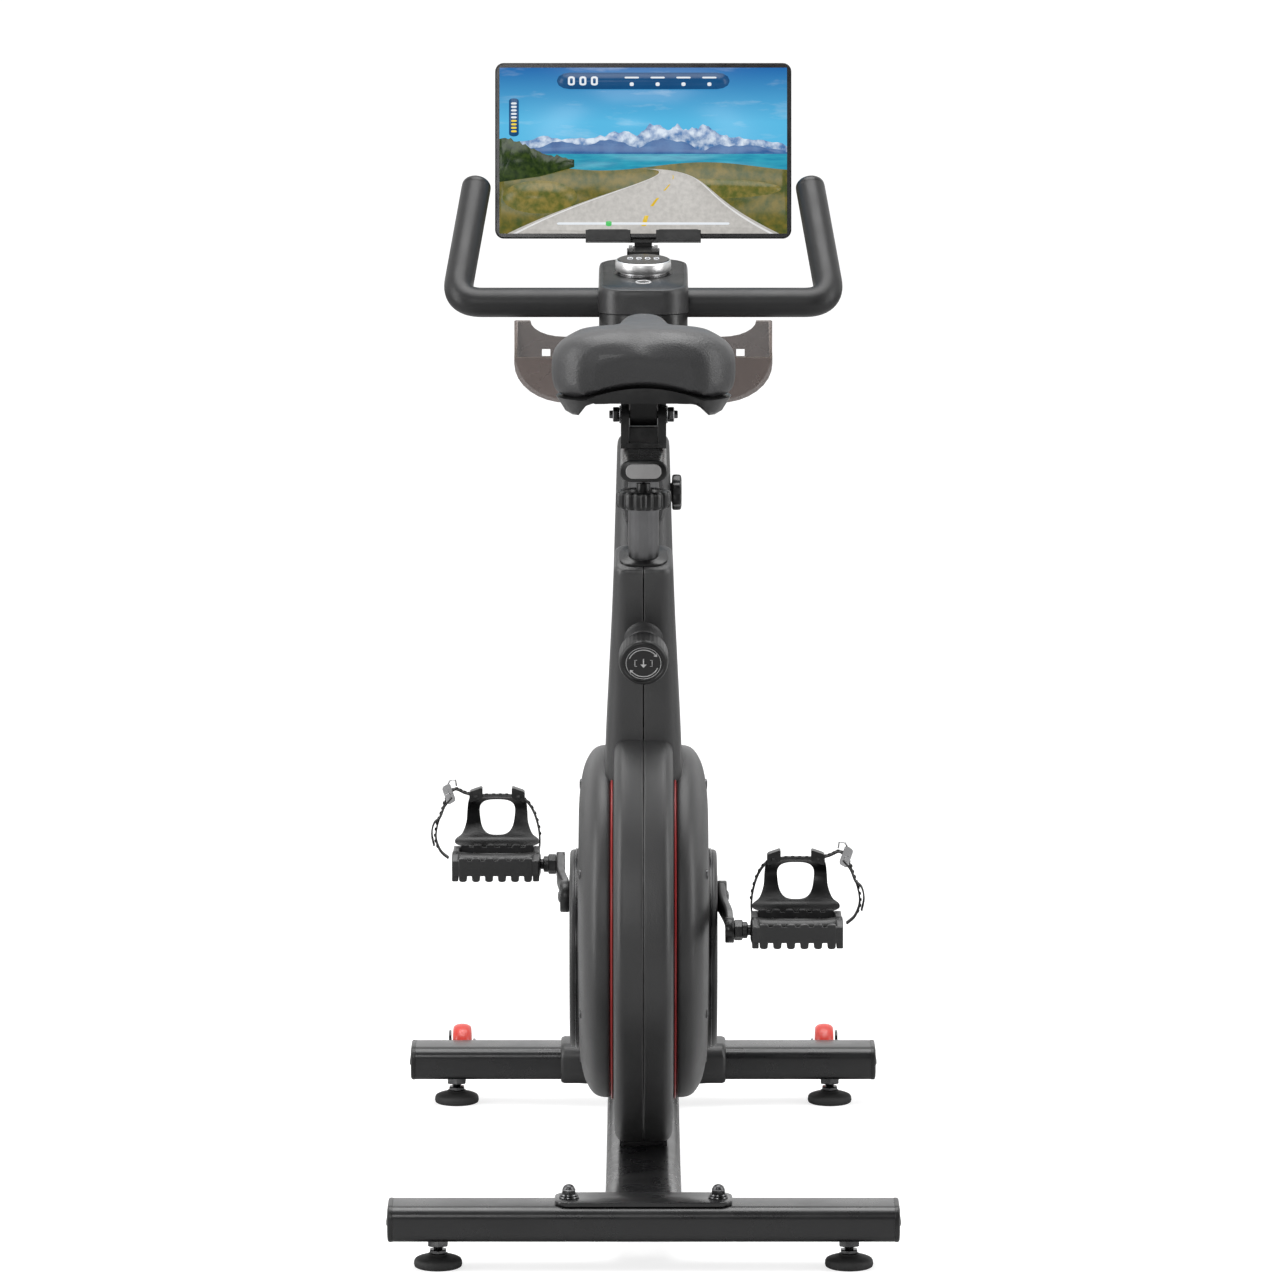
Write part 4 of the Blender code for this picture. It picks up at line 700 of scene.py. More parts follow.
# --- casing ---------------------------------------------------------------------------
def rim_covers():
    """Crowned band over the flywheel in two halves, with a fine seam groove."""
    for side, sign in SIDES:
        crown = smooth_profile([(0.2390, 0.0018), (0.2386, 0.0170), (0.2376, 0.0236),
                                (0.2350, 0.0274), (0.2310, 0.0300), (0.2250, 0.0313),
                                (0.1990, 0.0320)], 5)
        profile = [(0.2330, 0.0001), (0.2380, 0.0001), (0.2387, 0.0009)] + crown
        profile += [(0.1700, 0.0322), (0.1700, 0.0300), (0.1990, 0.0295), (0.2120, 0.0290),
                    (0.2270, 0.0275), (0.2330, 0.0235), (0.2345, 0.0150)]
        profile = mirrored(profile, sign)
        cover = add("rim_cover_shell_" + side, turned(profile, CASING, X_AXIS, 160, closed=True),
                    "cover", "root", sharp=50)
        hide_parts("rim_cover_" + side)
        groove = [(0.1860, 0.0322), (0.1915, 0.0324), (0.1924, 0.0330), (0.1924, 0.0342),
                  (0.1915, 0.0349), (0.1860, 0.0349)]
        ring = turned(mirrored(groove, sign), CASING, X_AXIS, 160, closed=True)
        add("accent_ring_" + side, ring, "accent", "root")


def side_covers():
    for side, sign in SIDES:
        outer = smooth_profile([(0.1870, 0.0352), (0.1896, 0.0360), (0.1906, 0.0395),
                                (0.1898, 0.0465), (0.1868, 0.0528), (0.1800, 0.0584),
                                (0.1690, 0.0635), (0.1540, 0.0670), (0.1400, 0.0688),
                                (0.1250, 0.0697)], 5)
        profile = [(0.0, 0.0350), (0.1860, 0.0350)] + outer + [(0.0, 0.0700)]
        shape = turned(mirrored(profile, sign), CASING, X_AXIS, 160)
        cover = add("side_cover_shell_" + side, shape, "cover", "root", sharp=50)
        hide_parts("side_cover_" + side)
        centre = middle("side_disc_" + side)
        centre.x = 0.0
        disc = [(0.0, 0.0698), (0.1080, 0.0698), (0.1080, 0.0712), (0.1066, 0.0724)]
        disc += smooth_profile([(0.1066, 0.0724), (0.1070, 0.0750), (0.1062, 0.0775),
                                (0.1040, 0.0790), (0.1000, 0.0794)], 4)
        disc += [(0.0930, 0.0794), (0.0922, 0.0787), (0.0905, 0.0787), (0.0897, 0.0793),
                 (0.0, 0.0795)]
        panel = add("side_disc_shell_" + side,
                    turned(mirrored(disc, sign), centre, X_AXIS, 144),
                    "cover_dark", "root", sharp=40)
        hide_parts("side_disc_" + side)
        trim = [(0.1074, 0.0712), (0.1082, 0.0718), (0.1082, 0.0730), (0.1074, 0.0736)]
        add("side_disc_trim_" + side,
            turned(mirrored(trim, sign), centre, X_AXIS, 144, closed=True),
            "gloss", "root")
        seal = [(0.0110, 0.0790), (0.0230, 0.0790), (0.0235, 0.0797), (0.0225, 0.0802),
                (0.0110, 0.0802)]
        add("crank_seal_" + side, turned(mirrored(seal, sign), CRANK, X_AXIS, 64,
                                         closed=True), "black", "root")
        screws = bmesh.new()
        for number in range(6):
            angle = math.radians(30 + 60 * number)
            spot = CASING + Vector((0, 0.150 * math.cos(angle), 0.150 * math.sin(angle)))
            turned([(0.0, sign * 0.0655), (0.0058, sign * 0.0655), (0.0058, sign * 0.0678),
                    (0.0048, sign * 0.0688), (0.0024, sign * 0.0690), (0.0020, sign * 0.0680),
                    (0.0, sign * 0.0680)], spot, X_AXIS, 24, shape=screws)
        add("side_screws_" + side, screws, "dark_steel", "root")


def leaning_rings(point, direction, back, stations, roundness):
    """Rounded sections up a leaning axis; a station is (place, half width, rear, front)."""
    rings = []
    for station, half, rear, front in stations:
        centre = point + direction * station + back * ((rear - front) / 2)
        outline = rounded_rect(2 * half, rear + front, min(half, (rear + front) / 2) * roundness, 9)
        rings.append([centre + X_AXIS * a - back * b for a, b in outline])
    return rings


def half_cover(name, rings, sign, node):
    """One half of a leaning cover, cut on the centre plane with a fine rounded seam."""
    piece = add(name, loft(rings), "cover", "root", sharp=50)
    near, far = sorted((sign * 0.0004, sign * 0.3))
    cut(piece, block((near, -1.0, -0.5), (far, 1.0, 1.5)), "INTERSECT")
    soften_edges(piece, 0.0012, 2, 50)
    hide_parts(node)


def seat_tube_cover():
    """Two leaning halves and the round hood that the pull pin comes out of."""
    stations = smooth_profile([(0.130, 0.0420, 0.0560, 0.050), (0.19, 0.0402, 0.0500, 0.046),
                               (0.28, 0.0362, 0.0390, 0.038), (0.34, 0.0335, 0.0350, 0.034),
                               (0.404, 0.0312, 0.0322, 0.031)], 5)
    stations += [(0.4075, 0.0308, 0.0318, 0.0306), (0.4098, 0.0298, 0.0308, 0.0296),
                 (0.4108, 0.0280, 0.0290, 0.0278)]
    rings = leaning_rings(SEAT_FOOT, SEAT_DIR, SEAT_BACK, stations, 0.46)
    for side, sign in SIDES:
        half_cover("seat_cover_shell_" + side, rings, sign, "seat_tube_cover_" + side)
    hood = [(0.0, 0.030), (0.0226, 0.030)] + smooth_profile(
        [(0.0226, 0.0330), (0.0200, 0.0372), (0.0186, 0.0425), (0.0180, 0.0465)], 4)
    hood += [(0.0170, 0.0478), (0.0120, 0.0478), (0.0110, 0.0455), (0.0, 0.0455)]
    add("pin_hood", turned(hood, PIN_FOOT, SEAT_BACK, 64), "cover", "root")


def column_cover():
    """Two leaning halves, and the dark pad with its blank plate on the rider's side."""
    pad_station = -0.222
    back = Vector((0.0, -COLUMN_DIR.z, COLUMN_DIR.y))
    stations = smooth_profile([(-0.555, 0.0400, 0.044, 0.052), (-0.46, 0.0365, 0.040, 0.042),
                               (-0.32, 0.0330, 0.035, 0.035),
                               (-0.172, 0.0290, 0.0305, 0.0305)], 5)
    stations += [(-0.1655, 0.0284, 0.0298, 0.0298), (-0.1620, 0.0270, 0.0284, 0.0284),
                 (-0.1605, 0.0250, 0.0264, 0.0264)]
    rings = leaning_rings(BAR, COLUMN_DIR, back, stations, 0.62)
    for side, sign in SIDES:
        half_cover("column_cover_shell_" + side, rings, sign, "column_cover_" + side)
    for name, width, length, finish, lift in (("column_pad", 0.045, 0.090, "cover_dark", 0.0),
                                              ("column_plate", 0.033, 0.075, "plate", 0.0013)):
        outline = rounded_rect(width, length, 0.013, 10)
        shape = loft([[BAR + COLUMN_DIR * (pad_station + b * scale) + X_AXIS * (a * scale)
                       + back * (level + lift - (pad_station + b * scale + 0.16) * 0.028)
                       for a, b in outline]
                      for level, scale in ((0.0285, 1.0), (0.0318, 1.0), (0.0328, 0.97),
                                           (0.0332, 0.92))])
        add(name, shape, finish, "root")


def column_knob():
    node = "handlebar_knob"
    centre = on_centre_plane(pivot("column_knob_turn"))

    def lobes(angle, radius, _height):
        return 1.0 + (0.085 * math.cos(6 * angle) if radius > 0.012 else 0.0)

    profile = [(0.0, 0.0184), (0.0044, 0.0190), (0.0044, 0.0300), (0.0100, 0.0300),
               (0.0105, 0.0312), (0.0120, 0.0316)]
    profile += smooth_profile([(0.0120, 0.0316), (0.0166, 0.0320), (0.0182, 0.0336),
                               (0.0182, 0.0392), (0.0170, 0.0416), (0.0130, 0.0424)], 4)[1:]
    profile += [(0.0085, 0.0422), (0.0080, 0.0416), (0.0, 0.0416)]
    knob = add("column_knob_grip", turned(profile, centre, X_AXIS, 96, ripple=lobes), "black",
               "column_knob", sharp=40)
    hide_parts(node)


def build_casing():
    rim_covers()
    side_covers()
    seat_tube_cover()
    column_cover()
    column_knob()


# --- cranks and pedals ------------------------------------------------------------------
CRANK_LENGTH = 0.170


def crank_arms():
    """Forged arms with a hub, a pedal eye, a hub bolt and the pedal's spindle."""
    hub, eye, thick = 0.0166, 0.0136, 0.0042
    for side, sign in SIDES:
        node = "crank_arm_" + side
        spindle = on_centre_plane(pivot("pedal_%s_turn" % side))
        along = (spindle - CRANK).normalized()
        across = Vector((0.0, -along.z, along.y))
        stations = [(-hub * math.cos(a), hub * math.sin(a))
                    for a in (0.12, 0.35, 0.6, 0.85, 1.1, 1.35, 1.57)]
        stations += [(0.012, 0.0156), (0.03, 0.0128), (0.05, 0.0113), (0.07, 0.0107), (0.09, 0.0105),
                     (0.11, 0.0106), (0.13, 0.0112), (0.15, 0.0124)]
        stations += [(CRANK_LENGTH + eye * math.sin(a), eye * math.cos(a))
                     for a in (0.0, 0.3, 0.6, 0.9, 1.2, 1.45)]
        rings = []
        for reach, half in stations:
            bend = min(max((reach - 0.02) / 0.10, 0.0), 1.0)
            mid = sign * (0.0846 + 0.0066 * bend * bend * (3 - 2 * bend))
            rounded = rounded_rect(2 * thick, 2 * half, min(thick * 0.7, half * 0.5), 5)
            rings.append([CRANK + along * reach + X_AXIS * (mid + a) + across * b
                          for a, b in rounded])
        shape = loft(rings)
        turned([(0.0, sign * 0.0804), (0.0166, sign * 0.0804), (0.0172, sign * 0.0815),
                (0.0172, sign * 0.0890), (0.0160, sign * 0.0902), (0.0100, sign * 0.0902),
                (0.0095, sign * 0.0890), (0.0, sign * 0.0890)], CRANK, X_AXIS, 48, shape=shape)
        turned([(0.0, sign * 0.0866), (0.0130, sign * 0.0866), (0.0136, sign * 0.0874),
                (0.0136, sign * 0.0952), (0.0128, sign * 0.0960), (0.0, sign * 0.0960)],
               CRANK + along * CRANK_LENGTH, X_AXIS, 40, shape=shape)
        arm = add(node + "_forged", shape, "black", "crank", sharp=45)
        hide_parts(node)
        bolt = hex_profile(CRANK, X_AXIS * sign, 0.0068, 0.0886, 0.0915, dome=0.0012)
        add("crank_bolt_" + side, bolt, "dark_steel", "crank")
        shape = hex_profile(spindle, X_AXIS * sign, 0.0112, 0.0962, 0.1050)
        turned([(0.0, sign * 0.1045), (0.0088, sign * 0.1045), (0.0088, sign * 0.1095),
                (0.0066, sign * 0.1105), (0.0056, sign * 0.1105), (0.0056, sign * 0.1940),
                (0.0, sign * 0.1940)], spindle, X_AXIS, 32, shape=shape)
        add("pedal_spindle_" + side, shape, "black", "crank")


PEDAL_MIDDLE = 0.1700
PEDAL_SHIFT = -0.0075
TEETH, TOOTH_PITCH = 6, 0.0143


def pedal(side, sign):
    """Cage platform with toothed bars, barrel, toe cage and strap."""
    hub = pivot("pedal_%s_turn" % side)
    body = "pedal_" + side

    def at(x, y, z):
        return Vector((sign * (x + PEDAL_SHIFT), hub.y + y, hub.z + z))

    def bar(low_x, high_x, low_y, high_y, low_z, high_z):
        xs = sorted((at(low_x, 0, 0).x, at(high_x, 0, 0).x))
        block((xs[0], hub.y + low_y, hub.z + low_z), (xs[1], hub.y + high_y, hub.z + high_z), shape)

    shape = bmesh.new()
    for y in (-0.0425, 0.0425):
        bar(0.1222, 0.2178, y - 0.0040, y + 0.0040, -0.0052, 0.0120)
    for x in (0.1255, 0.2145):
        bar(x - 0.0035, x + 0.0035, -0.0450, 0.0450, -0.0115, 0.0125)
    for y in (-0.0205, 0.0205):
        bar(0.1260, 0.2140, y - 0.0025, y + 0.0025, -0.0080, 0.0080)
    for x in (0.1450, 0.1700, 0.1950):
        bar(x - 0.0018, x + 0.0018, -0.040, 0.040, -0.0060, 0.0060)
    frame_piece = add("pedal_cage_" + side, shape, "cover_dark", body, bevel=0.0012)
    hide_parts("pedal_body_" + side)
    for end, y in (("rear", -0.0425), ("front", 0.0425)):
        outline = []
        for way, base, tip in ((1, -0.0052, -0.0118), (-1, 0.0120, 0.0145)):
            for number in range(TEETH):
                mid_x = way * (number - (TEETH - 1) / 2) * TOOTH_PITCH
                for k in range(9):
                    angle = math.pi * k / 8
                    outline.append((mid_x - way * 0.0046 * math.cos(angle),
                                    base + (tip - base) * math.sin(angle) ** 0.35))
        rings = [[at(PEDAL_MIDDLE + a, y + side_y, b) for a, b in outline]
                 for side_y in (-0.0043, 0.0043)]
        add("pedal_teeth_%s_%s" % (end, side), loft(rings), "cover_dark", body,
            bevel=0.0005)
    barrel = smooth_profile([(0.0095, 0.1208), (0.0135, 0.1222), (0.0148, 0.1260), (0.0128, 0.1330),
                             (0.0120, 0.1500), (0.0120, 0.1900), (0.0132, 0.2080), (0.0150, 0.2150),
                             (0.0138, 0.2182), (0.0090, 0.2190)], 4)
    profile = [(0.0, 0.1208)] + barrel + [(0.0080, 0.2186), (0.0, 0.2186)]
    add("pedal_barrel_" + side, turned(mirrored(profile, sign), at(0, 0, 0), X_AXIS, 48),
        "black", body)
    toe_cage(side, at, body)
    toe_strap(side, sign, at, body)


def toe_cage(side, at, body):
    """Moulded cage: a curved plate with a round-topped opening and two strap loops."""
    stations = smooth_profile([(0.0478, 0.0080, 0.0200), (0.0486, 0.0110, 0.0350),
                               (0.0500, 0.0150, 0.0455), (0.0530, 0.0190, 0.0460),
                               (0.0600, 0.0240, 0.0390), (0.0700, 0.0350, 0.0345),
                               (0.0745, 0.0470, 0.0335), (0.0720, 0.0570, 0.0325),
                               (0.0650, 0.0640, 0.0300), (0.0560, 0.0670, 0.0255)], 4)
    columns = 28
    rings = []
    for i, (y, z, half) in enumerate(stations):
        before, after = stations[max(i - 1, 0)], stations[min(i + 1, len(stations) - 1)]
        run = Vector((after[0] - before[0], after[1] - before[1])).normalized()
        thin = Vector((-run.y, run.x)) * 0.0013
        ring = []
        for way in (1, -1):
            for k in range(columns + 1):
                t = way * (k / columns * 2 - 1)
                ring.append(at(PEDAL_MIDDLE + half * t, y + way * thin.x - 0.006 * t * t,
                               z + way * thin.y))
        rings.append(ring)
    cage = add("toe_cage_shell_" + side, loft(rings), "black", body, sharp=60)
    opening = []
    for k in range(64):
        c, s = math.cos(math.pi * k / 32), math.sin(math.pi * k / 32)
        rise = math.copysign(abs(s) ** 0.66, s)
        half = 0.0192 + 0.0022 * rise
        opening.append((half * math.copysign(abs(c) ** 0.66, c), 0.0415 + 0.0192 * rise))
    cut(cage, loft([[at(PEDAL_MIDDLE + a, y, b) for a, b in opening] for y in (0.035, 0.095)]))
    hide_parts("toe_cage_" + side)
    loops = bmesh.new()
    for x in (-0.0235, 0.0235):
        lean = 0.35 if x > 0 else -0.35
        loft([[at(PEDAL_MIDDLE + x + a, y, 0.0682 + b - lean * a) for a, b in
               rounded_rect(0.0145, 0.0120, 0.0022, 5)] for y in (0.0515, 0.0660)], shape=loops)
    add("cage_loops_" + side, loops, "black", body)


def toe_strap(side, sign, at, body):
    """Studded strap over the toes, its loose tail and a cam buckle."""
    path = smooth_path([(0.1240, 0.0490, 0.0020), (0.1225, 0.0500, 0.0150), (0.1240, 0.0540, 0.0320),
                        (0.1300, 0.0590, 0.0500), (0.1400, 0.0620, 0.0620), (0.1560, 0.0620, 0.0660),
                        (0.1740, 0.0620, 0.0664), (0.1930, 0.0620, 0.0664), (0.2060, 0.0610, 0.0695),
                        (0.2170, 0.0580, 0.0740), (0.2260, 0.0560, 0.0640), (0.2310, 0.0545, 0.0500),
                        (0.2360, 0.0530, 0.0360), (0.2380, 0.0510, 0.0200), (0.2330, 0.0500, 0.0060),
                        (0.2240, 0.0490, -0.0020)], 5)
    placed = [at(*p) for p in path]
    strap = add("toe_strap_band_" + side, ribbon(placed, 0.0115, 0.0019, Y_AXIS), "strap", body,
                sharp=45)
    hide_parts("pedal_strap_" + side)
    studs = bmesh.new()
    for k in range(8, len(placed) - 6, 2):
        point = placed[k]
        turned([(0.0, -0.0005), (0.0018, -0.0005), (0.0018, 0.0019), (0.0, 0.0023)], point,
               (placed[k + 1] - placed[k]).normalized().cross(Y_AXIS) * sign,
               10, shape=studs)
    add("strap_studs_" + side, studs, "strap", body)
    tail = smooth_path([(0.2200, 0.0520, 0.0660), (0.2280, 0.0510, 0.0560), (0.2330, 0.0500, 0.0440),
                        (0.2400, 0.0500, 0.0370), (0.2425, 0.0500, 0.0250), (0.2400, 0.0495, 0.0120)], 5)
    add("strap_tail_" + side, ribbon([at(*p) for p in tail], 0.0105, 0.0018, Y_AXIS), "strap", body,
        sharp=45)
    shape = bmesh.new()
    base = [at(0.2235 + a * 0.7 + b * 0.35, 0.0480, 0.0700 + b - a * 0.4) for a, b in
            rounded_rect(0.0130, 0.0200, 0.0030, 4)]
    far = [p + Y_AXIS * 0.0016 for p in base]
    loft([base, far], shape=shape)
    tube([at(0.2150, 0.0490, 0.0790), at(0.2160, 0.0490, 0.0860), at(0.2225, 0.0490, 0.0850),
          at(0.2265, 0.0490, 0.0770), at(0.2270, 0.0490, 0.0660)], 0.0011, 8, shape=shape)
    turned([(0.0, -0.0070), (0.0030, -0.0070), (0.0030, 0.0070), (0.0, 0.0070)],
           at(0.2240, 0.0540, 0.0680), Y_AXIS, 16, shape=shape)
    add("strap_buckle_" + side, shape, "chrome", body, bevel=0.0004)


def build_drive():
    crank_arms()
    for side, sign in SIDES:
        pedal(side, sign)
    for node, finish in (("crank_axle", "steel"), ("crank_pulley", "black"), ("flywheel", "iron"),
                         ("drive_belt", "rubber"), ("magnet_bracket", "iron"),
                         ("frame_core", "frame"), ("seat_tube", "frame"), ("column_tube", "frame")):
        finish_node(node, finish)


# --- seat ---------------------------------------------------------------------------------
def seat_post():
    """Round post kept as the frame has it, with a black chrome finish and a wiper collar."""
    finish_node("seat_post", "post")
    outline = rounded_rect(0.051, 0.046, 0.0150, 10)
    rings = []
    for level, scale in ((0.4085, 0.96), (0.4092, 0.99), (0.4118, 1.0), (0.4130, 0.985),
                         (0.4135, 0.95)):
        rings.append([SEAT_FOOT + SEAT_DIR * level + X_AXIS * (a * scale) + SEAT_BACK * (b * scale)
                      for a, b in outline])
    for level, radius in ((0.4135, 0.0200), (0.4146, 0.0185), (0.4146, 0.0165), (0.4085, 0.0165)):
        rings.append([SEAT_FOOT + SEAT_DIR * level + X_AXIS * (radius * a) + SEAT_BACK * (radius * b)
                      for a, b in ((math.cos(t), math.sin(t)) for t in
                                   (math.atan2(q, p) for p, q in outline))])
    collar = add("seat_collar", loft(rings, closed=True), "black", "root")
    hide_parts("seat_tube_bushing")


def pull_knob():
    """Round pull knob: ribbed rim, dished face with two turn arrows."""
    def ribs(angle, radius, height):
        return 1.0 - (0.014 * max(math.cos(36 * angle), 0.0) if 0.066 < height < 0.085 and
                      radius > 0.0245 else 0.0)

    profile = [(0.0, 0.0166), (0.0040, 0.0168), (0.0046, 0.0180), (0.0046, 0.0270), (0.0088, 0.0272),
               (0.0088, 0.0560)]
    profile += smooth_profile([(0.0088, 0.0560), (0.0160, 0.0572), (0.0220, 0.0602),
                               (0.0255, 0.0650), (0.0262, 0.0680)], 4)[1:]
    profile += [(0.0262, 0.0720), (0.0262, 0.0800), (0.0260, 0.0845)]
    profile += smooth_profile([(0.0260, 0.0845), (0.0251, 0.0876), (0.0233, 0.0890),
                               (0.0216, 0.0886), (0.0208, 0.0874)], 4)[1:]
    profile += [(0.0120, 0.0868), (0.0, 0.0866)]
    knob = add("pull_knob", turned(profile, PIN_FOOT, SEAT_BACK, 144, ripple=ribs), "black", "seat_pin",
               sharp=40)
    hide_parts("seat_pin_knob")
    up = SEAT_DIR * 1.07
    side_way = SEAT_BACK.cross(SEAT_DIR).normalized() * 1.07
    face = PIN_FOOT + SEAT_BACK * 0.0872
    marks = bmesh.new()
    for start in (20, 200):
        arc = [face + side_way * (0.0148 * math.cos(math.radians(start + 11 * k)))
               + up * (0.0148 * math.sin(math.radians(start + 11 * k))) for k in range(12)]
        tube(arc, 0.00055, 8, shape=marks)
        end, before = arc[-1], arc[-2]
        ahead = (end - before).normalized()
        wide = ahead.cross(SEAT_BACK).normalized()
        tip = end + ahead * 0.0030
        loft([[end + wide * 0.0022 + SEAT_BACK * t, tip + SEAT_BACK * t, end - wide * 0.0022
               + SEAT_BACK * t] for t in (-0.0004, 0.0006)], shape=marks)
    ring = [face + side_way * (0.0172 * math.cos(math.pi * k / 24))
            + up * (0.0172 * math.sin(math.pi * k / 24)) for k in range(48)]
    tube(ring, 0.00035, 6, closed=True, shape=marks)
    for sign_y in (-1, 1):
        bracket = [face + side_way * (sx * 0.0085 * sign_y) + up * sz for sx, sz in
                   ((0.75, 0.0034), (1.0, 0.0034), (1.0, -0.0034), (0.75, -0.0034))]
        tube(bracket, 0.0004, 6, shape=marks)
    arrow = [face - SEAT_BACK * 0.0001 + up * 0.0048, face - up * 0.0015]
    tube(arrow, 0.0006, 8, shape=marks)
    loft([[face + side_way * 0.0030 - up * 0.0012 + SEAT_BACK * t, face - up * 0.0050 + SEAT_BACK * t,
           face - side_way * 0.0030 - up * 0.0012 + SEAT_BACK * t] for t in (-0.0003, 0.0005)],
         shape=marks)
    add("pull_knob_marks", marks, "mark", "seat_pin")


def slider():
    """Flat-oval tube, open from below for the screw, with a grey plug in a black rim."""
    low, high = corner("seat_slider", 0), corner("seat_slider", 1)
    z = (low.z + high.z) / 2
    outline = rounded_rect(0.049, 0.022, 0.0107, 10)
    inner = rounded_rect(0.045, 0.018, 0.0087, 10)
    rings = [[(a, y, z + b) for a, b in points] for points, y in
             ((outline, low.y), (outline, high.y), (inner, high.y), (inner, low.y + 0.01))]
    tube_piece = add("slider_tube", loft(rings, closed=True), "frame", "slider")
    cut(tube_piece, block((-0.0125, low.y + 0.014, low.z - 0.01), (0.0125, high.y - 0.028, z - 0.004)))
    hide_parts("seat_slider")
    plug_y = corner("slider_end_plug", 0).y
    shape = loft([[(a * s, y, z + b * s) for a, b in rounded_rect(0.0492, 0.0222, 0.0108, 10)]
                  for y, s in ((low.y + 0.0005, 1.0), (plug_y + 0.0015, 1.01), (plug_y + 0.0005, 0.98),
                               (plug_y, 0.93))])
    add("slider_rim", shape, "black", "slider")
    inner_plug = rounded_rect(0.0370, 0.0152, 0.0074, 10)
    rings = [[(a * s, y, z + b * s) for a, b in inner_plug]
             for y, s in ((plug_y + 0.0010, 1.0), (plug_y - 0.0008, 1.0), (plug_y - 0.0016, 0.96),
                          (plug_y - 0.0019, 0.86))]
    plug = add("slider_plug_face", loft(rings), "plug", "slider")
    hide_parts("slider_end_plug")


def saddle_clamp():
    """U bracket with a centre block, and the cross bolt that the saddle tilts on."""
    hub = pivot("saddle_tilt")
    base_z = corner("saddle_clamp", 0).z
    shape = bmesh.new()
    for sign in (-1, 1):
        cheek = [(-0.0185, base_z - hub.z), (-0.0165, 0.0)]
        cheek += [(0.0165 * math.cos(a), 0.0115 * math.sin(a))
                  for a in (math.radians(180 - 15 * k) for k in range(1, 12))]
        cheek += [(0.0165, 0.0), (0.0185, base_z - hub.z)]
        loft([[Vector((sign * x, hub.y + a, hub.z + b)) for a, b in cheek]
              for x in (0.0152, 0.0162, 0.0228, 0.0238)], shape=shape)
    block((-0.0238, hub.y - 0.0185, base_z), (0.0238, hub.y + 0.0185, base_z + 0.0055), shape=shape)
    block((-0.0150, hub.y - 0.0120, base_z), (0.0150, hub.y + 0.0120, hub.z - 0.0128), shape=shape)
    clamp = add("saddle_clamp_shell", shape, "black", "slider", bevel=0.0009)
    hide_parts("saddle_clamp")
    centre = on_centre_plane(hub)
    shape = turned([(0.0, -0.0360), (0.0038, -0.0360), (0.0042, -0.0350), (0.0042, 0.0350),
                    (0.0038, 0.0360), (0.0, 0.0360)], centre, X_AXIS, 24)
    for way in (-1, 1):
        turned([(0.0, 0.0239), (0.0092, 0.0239), (0.0095, 0.0247), (0.0090, 0.0254), (0.0, 0.0254)],
               centre, X_AXIS * way, 32, shape=shape)
        hex_profile(centre, X_AXIS * way, 0.0078, 0.0254, 0.0322, shape=shape)
    add("saddle_bolt", shape, "dark_steel", "slider")


def handwheel():
    """Fluted wheel that pulls the slider down on the post's head."""
    centre = pivot("handwheel_turn")

    def lobes(angle, radius, _height):
        return 1.0 - (0.055 * max(math.cos(16 * angle), -0.2) if radius >= 0.0205 else 0.0)

    profile = [(0.0, -0.0085), (0.0120, -0.0088)]
    profile += smooth_profile([(0.0120, -0.0088), (0.0235, -0.0095), (0.0276, -0.0078),
                               (0.0286, -0.0045), (0.0286, 0.0050), (0.0274, 0.0083),
                               (0.0240, 0.0093)], 4)[1:]
    profile += [(0.0200, 0.0090), (0.0190, 0.0078), (0.0188, 0.0035), (0.0100, 0.0030),
                (0.0078, 0.0040), (0.0074, 0.0165), (0.0042, 0.0170), (0.0040, 0.0285), (0.0, 0.0285)]
    wheel = add("tension_handwheel", turned(profile, centre, Z_AXIS, 168, ripple=lobes), "black",
                "handwheel", sharp=40)
    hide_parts("seat_handwheel")


SADDLE_LOW = corner("saddle_pad", 0)
SADDLE_HIGH = corner("saddle_pad", 1)
SADDLE_WIDEST = 0.0955
SEAM_ARCH = 0.014
SKIN_GROWTH = 0.0036


def saddle_place(t):
    return SADDLE_LOW.y + (SADDLE_HIGH.y - SADDLE_LOW.y) * t


def saddle_half_width(t):
    """Half width along the saddle, t from tail 0 to nose 1."""
    points = ((0.0, 0.058), (0.05, 0.078), (0.12, 0.0915), (0.22, SADDLE_WIDEST), (0.32, 0.0905),
              (0.44, 0.0720), (0.56, 0.0520), (0.70, 0.0375), (0.84, 0.0295), (0.94, 0.0240),
              (1.0, 0.0130))
    for (t0, w0), (t1, w1) in zip(points, points[1:]):
        if t <= t1:
            s = (t - t0) / (t1 - t0)
            s = s * s * (3 - 2 * s) if w1 < w0 and t1 > 0.3 and t1 < 0.7 else s
            return w0 + (w1 - w0) * s
    return points[-1][1]


